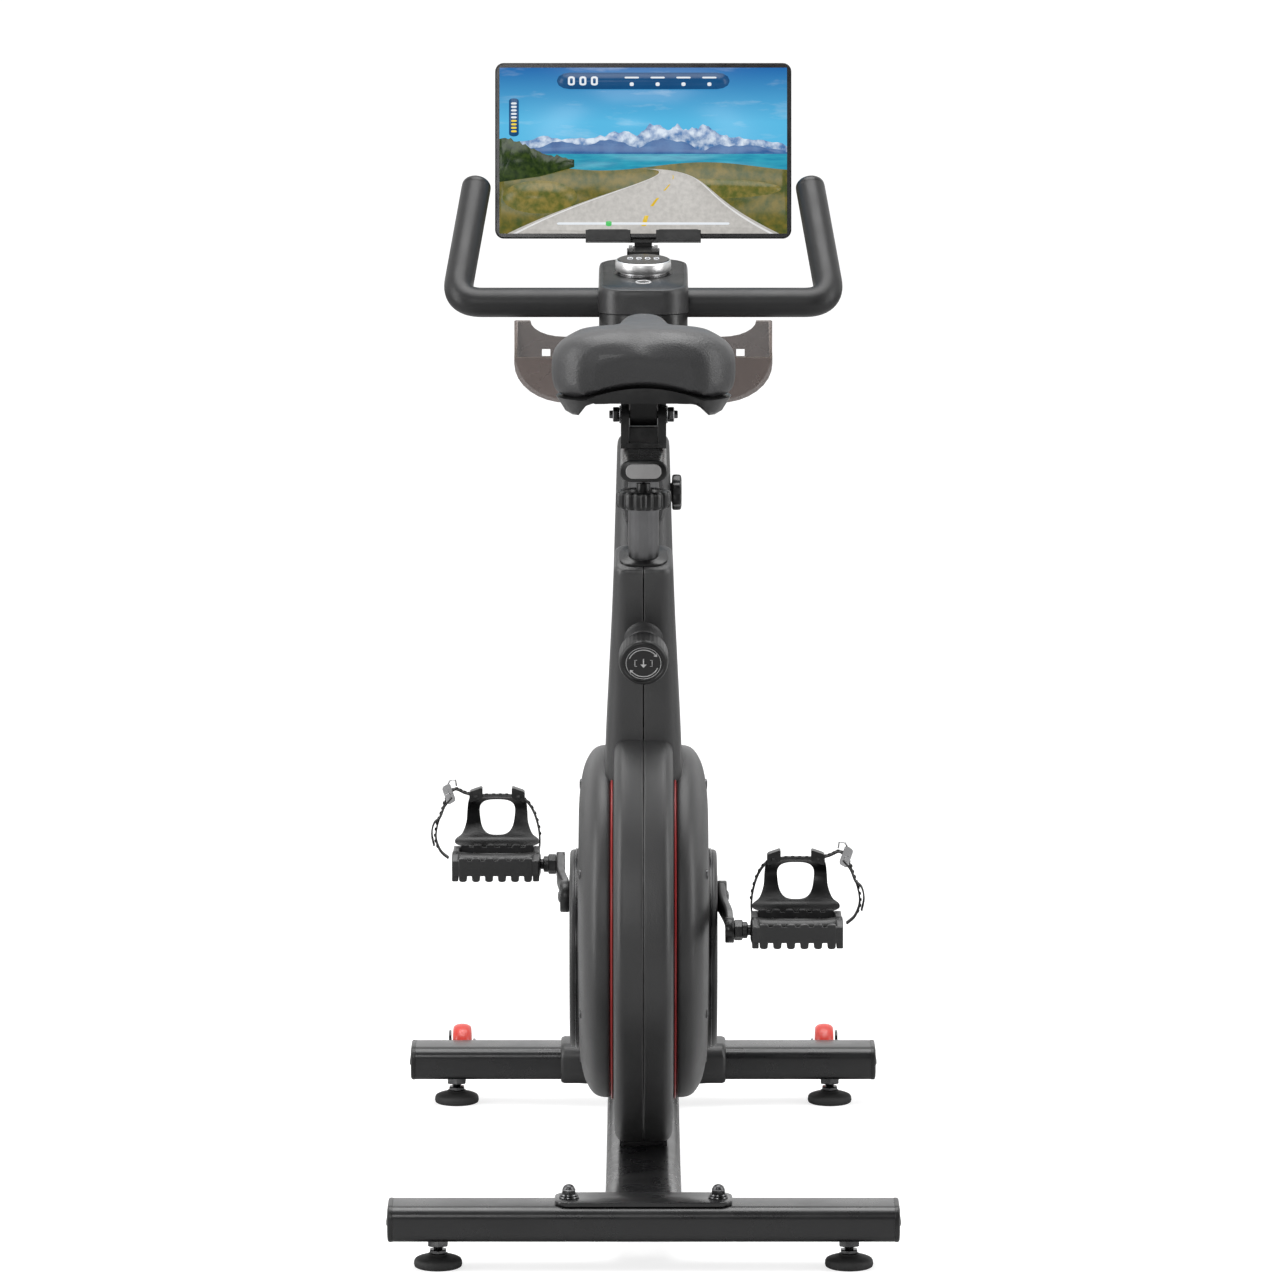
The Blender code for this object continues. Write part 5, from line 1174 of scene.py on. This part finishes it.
def saddle_section(t):
    """One cross-section of the pad: a crowned top with a shallow channel and rolled sides."""
    half = saddle_half_width(t) + SKIN_GROWTH
    y = saddle_place(t)
    rise = math.sin(min(t / 0.10, 1.0) * math.pi / 2) ** 0.6
    fall = math.sin(min((1.0 - t) / 0.08, 1.0) * math.pi / 2) ** 0.6
    top = SADDLE_HIGH.z - 0.0010 - 0.010 * t - (1 - rise) * 0.018 - (1 - fall) * 0.022
    top -= 0.004 * math.sin(math.pi * min(max((t - 0.25) / 0.5, 0.0), 1.0))
    low = SADDLE_LOW.z + 0.0015
    wide = max(1.0 - t / 0.62, 0.0)
    tail = max(1.0 - t / 0.22, 0.0)
    belly = low + 0.38 * (top - low)
    points = []
    for k in range(29):
        angle = math.pi * k / 28
        c, s = math.cos(angle), math.sin(angle)
        x = half * math.copysign(abs(c) ** 0.625, c)
        channel = 0.0022 * wide * max(1.0 - abs(x) / 0.016, 0.0)
        points.append(Vector((x, y, belly + (top - belly) * s ** 0.625 - channel)))
    for x, z in ((-0.998, 0.22), (-0.965, 0.06)):
        points.append(Vector((x * half, y, low + z * (belly - low) / 0.38)))
    for k in range(13):
        x = -0.92 + 1.84 * k / 12
        points.append(Vector((x * half, y, low + SEAM_ARCH * tail * (1 - x * x))))
    for x, z in ((0.965, 0.06), (0.998, 0.22)):
        points.append(Vector((x * half, y, low + z * (belly - low) / 0.38)))
    return points


def saddle():
    """Foam pad under stretched skin, puffed by a short cloth run, over a moulded base."""
    stations = [0.0, 0.012, 0.03, 0.06, 0.10, 0.15, 0.20, 0.26, 0.32, 0.38, 0.44, 0.50, 0.56, 0.62,
                0.68, 0.74, 0.80, 0.86, 0.91, 0.95, 0.98, 0.993, 1.0]
    rings = [saddle_section(t) for t in stations]
    tail_middle = sum(rings[0], Vector()) / len(rings[0])
    rings[0] = [tail_middle + (p - tail_middle) * 0.82 for p in rings[0]]
    pad = add("saddle_cushion", loft(rings), "skin", "saddle", sharp=0)
    remesh = pad.modifiers.new("remesh", "REMESH")
    remesh.mode = "VOXEL"
    remesh.voxel_size = 0.0045
    apply_modifiers(pad)
    puff(pad, 0.005)
    smooth = pad.modifiers.new("soften", "SMOOTH")
    smooth.factor = 0.5
    smooth.iterations = 4
    apply_modifiers(pad)
    hold_in_box(pad, SADDLE_LOW, SADDLE_HIGH)
    pad.data.shade_smooth()
    fine = pad.modifiers.new("fine", "SUBSURF")
    fine.levels = 1
    fine.render_levels = 1
    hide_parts("saddle_pad")
    saddle_base()


def puff(piece, cap):
    """Pressurise the skin for a few frames and keep each point near its start."""
    scene = bpy.context.scene
    start = [v.co.copy() for v in piece.data.vertices]
    cloth = piece.modifiers.new("cloth", "CLOTH")
    settings = cloth.settings
    settings.quality = 6
    settings.mass = 0.3
    settings.tension_stiffness = 30
    settings.compression_stiffness = 30
    settings.use_pressure = True
    settings.uniform_pressure_force = 4.0
    settings.effector_weights.gravity = 0.0
    cloth.point_cache.frame_start = 1
    cloth.point_cache.frame_end = 20
    for number in range(1, 21):
        scene.frame_set(number)
    apply_modifiers(piece)
    scene.frame_set(1)
    for vertex, origin in zip(piece.data.vertices, start):
        step = vertex.co - origin
        if step.length > cap:
            vertex.co = origin + step.normalized() * cap


def hold_in_box(piece, low, high):
    """Keep a puffed pad off its base and inside its space."""
    for vertex in piece.data.vertices:
        vertex.co.z = max(vertex.co.z, low.z + 0.0004)
        vertex.co.z = min(vertex.co.z, high.z + 0.001)


def saddle_base():
    """Moulded shell under the pad with two lobes at the tail, a lug and its rails."""
    stations = [0.015, 0.04, 0.08, 0.13, 0.20, 0.28, 0.36, 0.44, 0.52, 0.60, 0.68, 0.76, 0.84,
                0.91, 0.96, 0.985]
    rings = []
    columns = 24
    top_z = SADDLE_LOW.z - 0.0004
    for t in stations:
        half = saddle_half_width(t) * 0.962
        y = saddle_place(t)
        lobe = max(1.0 - t / 0.50, 0.0) ** 0.5
        arch = SEAM_ARCH * max(1.0 - t / 0.22, 0.0)
        ring = []
        for k in range(columns + 1):
            x = 1.0 - 2.0 * k / columns
            ring.append(Vector((x * half, y, top_z + arch * (1 - x * x) + 0.0008)))
        for k in range(1, columns):
            x = -1.0 + 2.0 * k / columns
            spread = abs(x * half) / SADDLE_WIDEST
            under = top_z - 0.0020 - 0.0190 * lobe * math.exp(-((spread - 0.79) / 0.15) ** 4)
            round_off = 1.0 - abs(x) ** 14
            upper = top_z + arch * (1 - x * x)
            ring.append(Vector((x * half, y, upper + (under - upper) * round_off)))
        rings.append(ring)
    base = add("saddle_base_shell", loft(rings), "black", "saddle", sharp=50)
    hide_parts("saddle_base")
    hub = pivot("saddle_tilt")
    lug = bmesh.new()
    lug_radius, lug_top = 0.0118, top_z - hub.z - 0.004
    outline = [(-0.0135, lug_top)]
    outline += [(lug_radius * math.cos(a), lug_radius * math.sin(a))
                for a in (math.radians(180 + 15 * k) for k in range(13))]
    outline += [(0.0135, lug_top)]
    loft([[Vector((x, hub.y + a, hub.z + b)) for a, b in outline]
          for x in (-0.0144, -0.0134, 0.0134, 0.0144)], shape=lug)
    add("saddle_lug", lug, "black", "saddle", bevel=0.0006)
    rails = bmesh.new()
    for sign in (-1, 1):
        path = smooth_path([(sign * 0.050, SADDLE_LOW.y + 0.045, top_z - 0.004),
                            (sign * 0.034, SADDLE_LOW.y + 0.075, top_z - 0.007),
                            (sign * 0.022, SADDLE_LOW.y + 0.120, top_z - 0.009),
                            (sign * 0.018, SADDLE_LOW.y + 0.170, top_z - 0.009),
                            (sign * 0.012, SADDLE_LOW.y + 0.215, top_z - 0.005)], 5)
        tube(path, 0.0034, 12, shape=rails)
    add("saddle_rails", rails, "dark_steel", "saddle")


def build_seat():
    seat_post()
    pull_knob()
    slider()
    saddle_clamp()
    handwheel()
    saddle()


# --- column top ----------------------------------------------------------------------------
def handlebar():
    """Crossbar and horns in textured foam, with smooth round end plugs."""
    tip_high = corner("handlebar", 1)
    tip = Vector((0.188, tip_high.y - 0.0155, tip_high.z - 0.0075))
    bend = Vector((BAR_HALF, BAR.y, BAR.z))
    horn = (tip - bend).normalized()
    reach = 0.030
    right = [Vector((x, BAR.y, BAR.z)) for x in (0.040, 0.070, 0.110, 0.150)]
    for k in range(17):
        t = k / 16
        start, end = bend - X_AXIS * reach, bend + horn * reach
        right.append(start * (1 - t) ** 2 + bend * 2 * t * (1 - t) + end * t ** 2)
    for k in range(1, 6):
        right.append((bend + horn * reach).lerp(tip - horn * 0.006, k / 5))
    path = [Vector((-p.x, p.y, p.z)) for p in reversed(right)] + right
    grip = add("handlebar_grip", tube(path, BAR_RADIUS, 40), "grip", "handlebar", sharp=50)
    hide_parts("handlebar")
    for side, sign in SIDES:
        way = Vector((sign * horn.x, horn.y, horn.z))
        spot = Vector((sign * tip.x, tip.y, tip.z)) - way * 0.006
        plug = [(0.0, 0.0), (0.0162, 0.0), (0.0164, 0.0006)]
        plug += [(0.0164 * math.cos(a) ** 0.8, 0.0030 + 0.0095 * math.sin(a))
                 for a in (math.pi / 2 * k / 10 for k in range(10))] + [(0.0, 0.0125)]
        add("horn_plug_" + side, turned(plug, spot, way, 48), "black", "handlebar")
    finish_node("handlebar_post", "frame")


def deck_height(y):
    low = corner("console_upper", 0)
    return 0.950 + (y - low.y) * 0.0944


def console():
    """Two-part housing with a soft top edge, a recessed deck and the dial's black well."""
    low, high = corner("console_upper", 0), corner("console_upper", 1)
    mid = (low.y + high.y) / 2
    outline = rounded_rect(0.100, 0.180, 0.030, 14)

    def ring(scale_x, scale_y, drop=None, z=None):
        points = []
        for x, y in outline:
            place = mid + y * scale_y
            points.append((x * scale_x, place, z if drop is None else deck_height(place) - drop))
        return points

    lower = [ring(0.90, 0.93, z=0.8925), ring(0.955, 0.965, z=0.8932), ring(0.978, 0.985, z=0.8955),
             ring(0.985, 0.990, z=0.8990), ring(0.985, 0.990, z=0.9200), ring(0.975, 0.985, z=0.9214)]
    piece = add("console_lower_shell", loft(lower), "black", "handlebar", sharp=45)
    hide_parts("console_lower")
    upper = [ring(0.985, 0.992, z=0.9219), ring(1.0, 1.0, z=0.9226), ring(1.0, 1.0, drop=0.0090)]
    upper += [ring(1.0 - 0.045 * (1 - math.cos(a)), 1.0 - 0.026 * (1 - math.cos(a)),
                   drop=0.0090 - 0.0085 * math.sin(a)) for a in (math.pi / 2 * k / 6
                                                                 for k in range(1, 7))]
    upper += [ring(0.90, 0.935, drop=0.0004), ring(0.895, 0.932, drop=0.0009)]
    piece = add("console_upper_shell", loft(upper), "cover_dark", "handlebar",
                sharp=45)
    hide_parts("console_upper")
    deck = [ring(0.893, 0.930, drop=0.0012), ring(0.893, 0.930, drop=0.0004),
            ring(0.886, 0.926, drop=0.0001)]
    add("console_deck", loft(deck), "black", "handlebar", sharp=45)
    axis = joint_axis("dial_turn")
    hub = pivot("dial_turn")
    forward = Y_AXIS - axis * axis.dot(Y_AXIS)
    forward.normalize()
    spot, reach = hub - forward * 0.056 + axis * 0.0002, 0.0080
    loop = [spot + X_AXIS * (reach * math.cos(a)) + forward * (reach * math.sin(a))
            for a in (2 * math.pi * k / 48 for k in range(48))]
    add("deck_ring", tube(loop, 0.0009, 6, closed=True), "mark", "handlebar")
    dial(hub, axis, forward)


def dial(hub, axis, forward):
    """Silver ring round a black glass with four plain noughts, in a black well."""
    ring = [(0.0, 0.0006), (0.0262, 0.0006), (0.0262, 0.0030), (0.0302, 0.0032), (0.0310, 0.0042),
            (0.0312, 0.0090), (0.0310, 0.0135), (0.0303, 0.0146), (0.0294, 0.0149), (0.0290, 0.0144),
            (0.0, 0.0144)]
    piece = add("dial_ring", turned(ring, hub, axis, 128), "silver", "dial", sharp=40)
    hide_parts("console_dial")
    glass = [(0.0, 0.0143), (0.0289, 0.0143), (0.0289, 0.0150), (0.0284, 0.0155), (0.0, 0.0157)]
    add("dial_glass", turned(glass, hub, axis, 96), "gloss", "dial")
    well = [(0.0, -0.0004), (0.0335, -0.0004), (0.0335, 0.0003), (0.0, 0.0003)]
    add("dial_well", turned(well, hub, axis, 96), "gloss", "handlebar")
    digits = bmesh.new()
    for number in range(4):
        loop = [hub + X_AXIS * ((number - 1.5) * 0.0098 + a) + forward * (b + 0.001) + axis * 0.0158
                for a, b in rounded_rect(0.0052, 0.0092, 0.0022, 5)]
        tube(loop, 0.0006, 6, closed=True, shape=digits)
    add("dial_digits", digits, "digit", "dial")


def tray():
    """Thin smoked trough kept in its CAD shape, with a rounded lip along its front edge."""
    finish_node("accessory_tray", "smoked")
    low, high = corner("accessory_tray", 0), corner("accessory_tray", 1)
    half, across, rise = high.x, 0.060, 0.0445
    path = [Vector((-half, high.y, low.z + rise + drop)) for drop in (0.038, 0.026, 0.013)]
    for k in range(13):
        angle = math.pi * (1 + k / 24)
        path.append(Vector((across - half + across * math.cos(angle), high.y,
                            low.z + rise + rise * math.sin(angle))))
    path += [Vector((-p.x, p.y, p.z)) for p in reversed(path)]
    add("tray_lip_front", tube(path, 0.0013, 8), "smoked", "handlebar")


def tablet_frame():
    """Origin and axes of the tablet's front face."""
    up = joint_axis("tablet_lift")
    away = Vector((0.0, up.z, -up.y))
    base = corner("tablet", 0)
    origin = Vector((0.0, base.y, 0.9845))
    return origin, up, away


def tablet():
    """Thin body with a soft back edge, a glass over its whole front and a lit picture."""
    origin, up, away = tablet_frame()
    width, height, thick = 0.337, 0.200, 0.008
    outline = rounded_rect(width, height, 0.010, 12)

    def plate(points, low, high, round_back=False):
        levels = [(low, 0.990), (low + 0.0006, 1.0), (high - 0.0025, 1.0), (high - 0.0008, 0.994),
                  (high, 0.985)] if round_back else [(low, 1.0), (high, 1.0)]
        return loft([[origin + X_AXIS * (a * s) + up * (height / 2 + b * s) + away * level
                      for a, b in points] for level, s in levels])

    body = add("tablet_body", plate(outline, 0.0, thick, True), "black", "tablet")
    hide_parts("tablet")
    add("tablet_glass", plate(rounded_rect(width - 0.003, height - 0.003, 0.0088, 12),
                              -0.0002, 0.0002), "gloss", "tablet")
    picture(origin, up, away, width - 0.010, height - 0.011, height / 2)


def picture_finish(name, colour, second, scale, stretch=None):
    """A lit patch of the screen: two colours mixed by noise."""
    finish = Finish("screen_" + name, (0.0, 0.0, 0.0), 0.30, specular=0.2)
    fac = finish.ramp(finish.noise(scale, 5.0, stretch), 0.0, 1.0, 0.35, 0.65)
    return light_up(finish, name, finish.mix(fac, colour, second))


def light_up(finish, name, colour):
    finish.link(colour, finish.shader.inputs["Emission Color"])
    finish.set("Emission Strength", 0.95)
    FINISHES[name] = finish
    return name


def sky_finish():
    """Deep blue above, pale near the mountains, thin drawn-out clouds."""
    finish = Finish("screen_sky", (0.0, 0.0, 0.0), 0.30, specular=0.2)
    split = finish.node("ShaderNodeSeparateXYZ")
    finish.link(finish.coords, split.inputs[0])
    height = finish.ramp(split.outputs["Z"], 0.0, 1.0, 1.115, 1.180)
    blue = finish.mix(height, (0.10, 0.50, 0.80), (0.0015, 0.115, 0.40))
    cloud = finish.ramp(finish.noise(26.0, 6.0, (0.55, 1.0, 2.6)), 0.0, 0.35, 0.56, 0.80)
    return light_up(finish, "sky", finish.mix(cloud, blue, (0.86, 0.92, 0.97)))


def ridge(start, end, base, height, seed):
    """A jagged skyline from noise, in screen fractions."""
    steps = 60
    points = []
    for k in range(steps + 1):
        t = k / steps
        u = start + (end - start) * t
        jag = noise.fractal(Vector((u * 9.0 + seed, seed * 1.7, 0.0)), 0.8, 2.1, 5)
        envelope = math.sin(math.pi * t) ** 0.5
        points.append((u, base + height * envelope * (0.62 + 0.55 * jag)))
    return points


def picture(origin, up, away, width, height, centre):
    """A lakeside road under mountains, drawn as flat lit layers."""
    def patch(name, outline, layer, finish):
        shape = bmesh.new()
        verts = [shape.verts.new(origin + X_AXIS * ((u - 0.5) * width)
                                 + up * (centre + (v - 0.5) * height)
                                 - away * (0.00025 + 0.00004 * layer)) for u, v in outline]
        face = shape.faces.new(verts)
        bmesh.ops.triangulate(shape, faces=[face])
        extra = bmesh.ops.extrude_face_region(shape, geom=list(shape.faces))
        moved = [g for g in extra["geom"] if isinstance(g, bmesh.types.BMVert)]
        bmesh.ops.translate(shape, verts=moved, vec=away * 0.00003)
        add("screen_" + name, shape, finish, "tablet", sharp=0)

    def down_to(points, base):
        return [(points[0][0], base)] + points + [(points[-1][0], base)]

    patch("sky", [(0, 0.35), (1, 0.35), (1, 1), (0, 1)], 0, sky_finish())
    snow = picture_finish("snow", (0.66, 0.75, 0.86), (0.06, 0.18, 0.42), 110.0)
    far = picture_finish("far_hills", (0.020, 0.10, 0.30), (0.050, 0.16, 0.38), 60.0)
    lake = picture_finish("lake", (0.010, 0.26, 0.42), (0.030, 0.38, 0.52), 40.0,
                          stretch=(1.0, 1.0, 8.0))
    grass = picture_finish("grass", (0.20, 0.155, 0.022), (0.060, 0.085, 0.014), 90.0)
    meadow = picture_finish("meadow", (0.27, 0.21, 0.050), (0.10, 0.12, 0.022), 120.0)
    trees = picture_finish("trees", (0.010, 0.026, 0.006), (0.040, 0.070, 0.012), 190.0)
    patch("peaks", down_to(ridge(0.0, 1.0, 0.525, 0.120, 3.1), 0.45), 1, snow)
    patch("main_peak", down_to(ridge(0.42, 0.86, 0.53, 0.195, 8.4), 0.45), 2, snow)
    patch("foothills", down_to(ridge(0.0, 1.0, 0.490, 0.090, 5.2), 0.42), 3, far)
    patch("lake", [(0.15, 0.34), (1.0, 0.34), (1.0, 0.48), (0.15, 0.48)], 4, lake)
    grass_top = [(k / 40, 0.405 + 0.025 * math.cos(k * 0.22)) for k in range(41)]
    patch("grass", down_to(grass_top, 0.0), 5, grass)
    for name, u, v, half_width, half_height in (("near", 0.72, 0.27, 0.26, 0.06),
                                                ("left", 0.14, 0.22, 0.13, 0.10)):
        patch(name + "_meadow", [(u + half_width * math.cos(a), v + half_height * math.sin(a))
                                 for a in (math.pi * k / 16 for k in range(32))], 6, meadow)
    tree_top = [(u / 100.0, 0.440 + 0.040 * abs(noise.noise(Vector((u * 0.63, 2.0, 0.0))))
                 + 0.13 * math.exp(-(u / 14.0) ** 2)) for u in range(0, 27)]
    patch("trees", [(0.0, 0.31)] + tree_top + [(0.26, 0.40), (0.14, 0.345)], 7, trees)
    screen_road(patch)
    screen_overlay(patch)


def road_point(t, side):
    """Screen place on a bending road: t is 0 at the rider and 1 at the lake, side -1 to 1."""
    narrowing = (1 - t) ** 2
    return (0.50 + 0.18 * math.sin(math.pi * t) * t + side * (0.012 + 0.46 * narrowing),
            0.39 * (1 - narrowing))


def screen_road(patch):
    """Grey road with white edges and a dashed yellow middle line."""
    road = picture_finish("road", (0.56, 0.54, 0.51), (0.46, 0.445, 0.42), 200.0)
    white = picture_finish("road_white", (0.85, 0.85, 0.85), (0.75, 0.75, 0.75), 90.0)
    yellow = picture_finish("road_yellow", (0.80, 0.55, 0.03), (0.70, 0.45, 0.03), 90.0)
    steps = 24

    def strip(name, start, end, inner, outer, layer, finish):
        places = [start + (end - start) * k / steps for k in range(steps + 1)]
        patch(name, [road_point(t, inner) for t in places]
              + [road_point(t, outer) for t in reversed(places)], layer, finish)

    strip("road", 0.0, 1.0, -1.0, 1.0, 8, road)
    strip("road_edge_left", 0.0, 0.9, -0.96, -0.93, 9, white)
    strip("road_edge_right", 0.0, 0.9, 0.93, 0.96, 9, white)
    for k in range(4):
        strip("dash_%d" % k, 0.06 + 0.18 * k, 0.15 + 0.18 * k, -0.02, 0.02, 9, yellow)


def screen_overlay(patch):
    """Plain read-outs: a strip of bars along the top, a level gauge and a progress line."""
    panel = picture_finish("panel", (0.004, 0.065, 0.19), (0.006, 0.080, 0.22), 20.0)
    pale = picture_finish("pale", (0.86, 0.90, 0.94), (0.80, 0.85, 0.90), 20.0)
    gold = picture_finish("gold", (0.95, 0.72, 0.05), (0.85, 0.60, 0.04), 20.0)
    green = picture_finish("green", (0.10, 0.62, 0.16), (0.08, 0.50, 0.12), 20.0)

    def bar(name, u, v, w, h, layer, finish):
        patch(name, [(u + a, v + b) for a, b in rounded_rect(w, h, min(w, h) * 0.45, 4)], layer,
              finish)

    bar("panel", 0.50, 0.92, 0.60, 0.10, 10, panel)
    for k in range(3):
        bar("figure_%d" % k, 0.25 + 0.04 * k, 0.92, 0.024, 0.055, 11, pale)
        bar("figure_core_%d" % k, 0.25 + 0.04 * k, 0.92, 0.010, 0.032, 12, panel)
    for k in range(4):
        bar("reading_%d" % k, 0.46 + 0.09 * k, 0.90, 0.014, 0.022, 11, pale)
        bar("reading_line_%d" % k, 0.46 + 0.09 * k, 0.94, 0.050, 0.010, 11, pale)
    bar("gauge_back", 0.05, 0.70, 0.034, 0.23, 10, panel)
    for k in range(9):
        bar("gauge_%d" % k, 0.05, 0.616 + 0.021 * k, 0.020, 0.012, 11, gold if k < 4 else pale)
    bar("progress", 0.50, 0.06, 0.60, 0.014, 10, pale)
    bar("marker", 0.38, 0.06, 0.020, 0.032, 11, green)


def holder():
    """Moulded cradle: neck with ribs, back plate, shelf clips with soft pads."""
    origin, up, away = tablet_frame()
    finish_node("holder_neck", "black")
    finish_node("tablet_holder", "black")
    pads = bmesh.new()
    for sign in (-1, 1):
        loft([[origin + X_AXIS * (sign * 0.040 + a) - away * level + up * (0.0035 + b)
               for a, b in rounded_rect(0.0500, 0.0130, 0.0040, 6)]
              for level in (0.0047, 0.0055, 0.0058)], shape=pads)
    add("clip_faces", pads, "black", "holder")
    ribs = bmesh.new()
    for k in range(5):
        x = (k - 2) * 0.022
        loft([[origin + X_AXIS * (x + sx * 0.0012) + away * (0.0121 + level) + up * v
               for sx, v in ((-1, 0.004), (1, 0.004), (1, 0.088), (-1, 0.088))]
              for level in (0.0, 0.0022)], shape=ribs)
    add("cradle_ribs", ribs, "black", "holder", bevel=0.0005)
    hub = pivot("holder_tilt")
    caps = bmesh.new()
    for way in (-1, 1):
        hex_profile(Vector((0, hub.y, hub.z)), X_AXIS * way, 0.0062, 0.0166, 0.0186, shape=caps)
    add("holder_pin_caps", caps, "dark_steel", "handlebar")


def build_top():
    handlebar()
    console()
    tray()
    tablet()
    holder()


# --- stage ----------------------------------------------------------------------------------
def camera_ray(tree):
    """1 for what the camera sees directly, 0 for light that the object gets."""
    return tree.nodes.new("ShaderNodeLightPath").outputs["Is Camera Ray"]


def floor():
    """Pale floor that glows up to white where the camera sees it directly."""
    shape = bmesh.new()
    shape.faces.new([shape.verts.new((x * FLOOR_HALF, y * FLOOR_HALF, 0.0))
                     for x, y in ((-1, -1), (1, -1), (1, 1), (-1, 1))])
    mesh = bpy.data.meshes.new("floor")
    shape.to_mesh(mesh)
    shape.free()
    piece = bpy.data.objects.new("floor", mesh)
    bpy.context.scene.collection.objects.link(piece)
    piece.location.z = FLOOR_Z - 0.0002
    paper = Finish("floor_paper", (0.46, 0.46, 0.46), 0.85, specular=0.10)
    paper.set("Emission Color", (1.0, 1.0, 1.0, 1.0))
    glow = paper.math("MULTIPLY", camera_ray(paper.tree), 0.72)
    paper.link(glow, paper.shader.inputs["Emission Strength"])
    mesh.materials.append(paper.material)


def surround():
    """Light that fades from the front to the rear, white where the camera sees it."""
    world = bpy.data.worlds.new("studio")
    world.use_nodes = True
    bpy.context.scene.world = world
    nodes, links = world.node_tree.nodes, world.node_tree.links
    split = nodes.new("ShaderNodeSeparateXYZ")
    links.new(nodes.new("ShaderNodeTexCoord").outputs["Generated"], split.inputs[0])
    fade = nodes.new("ShaderNodeMapRange")
    for socket, value in (("From Min", -0.72), ("From Max", 0.40), ("To Min", 0.03),
                          ("To Max", 1.15)):
        fade.inputs[socket].default_value = value
    links.new(split.outputs["Y"], fade.inputs["Value"])
    brightest = nodes.new("ShaderNodeMath")
    brightest.operation = "MAXIMUM"
    links.new(fade.outputs["Result"], brightest.inputs[0])
    links.new(camera_ray(world.node_tree), brightest.inputs[1])
    background = nodes["Background"]
    links.new(brightest.outputs[0], background.inputs["Strength"])
    background.inputs["Color"].default_value = (1.0, 1.0, 1.0, 1.0)


def lights():
    """A soft light on each side, one overhead and a weak one behind the rider."""
    for name, place, target_z, width, height, power in (
            ("side_left", (-2.8, -1.0, 1.5), 0.5, 1.0, 3.2, 78),
            ("side_right", (2.8, -1.0, 1.5), 0.5, 1.0, 3.2, 60),
            ("top", (0.0, 0.1, 3.4), 0.3, 2.4, 2.4, 105),
            ("rear_fill", (-0.9, -4.5, 2.2), 0.6, 1.0, 1.0, 44)):
        data = bpy.data.lights.new(name, "AREA")
        data.shape = "RECTANGLE"
        data.size, data.size_y = width, height
        data.energy = power
        light = bpy.data.objects.new(name, data)
        light.location = place
        aim = Vector((0.0, 0.0, target_z)) - Vector(place)
        light.rotation_euler = aim.to_track_quat("-Z", "Y").to_euler()
        bpy.context.scene.collection.objects.link(light)


def camera():
    """Long lens, well back and a little above, straight behind the rider."""
    data = bpy.data.cameras.new("camera")
    data.sensor_width = 36.0
    data.lens = 208.1
    data.clip_end = 100.0
    eye = bpy.data.objects.new("camera", data)
    eye.location = (-0.0037, REAR_Y - 7.5, 1.81)
    eye.rotation_euler = (math.radians(90.0 - 8.73), 0.0, 0.0)
    bpy.context.scene.collection.objects.link(eye)
    bpy.context.scene.camera = eye


bpy.context.scene.view_settings.view_transform = "Standard"
camera()
floor()
surround()
lights()
build_base()
build_casing()
build_drive()
build_seat()
build_top()
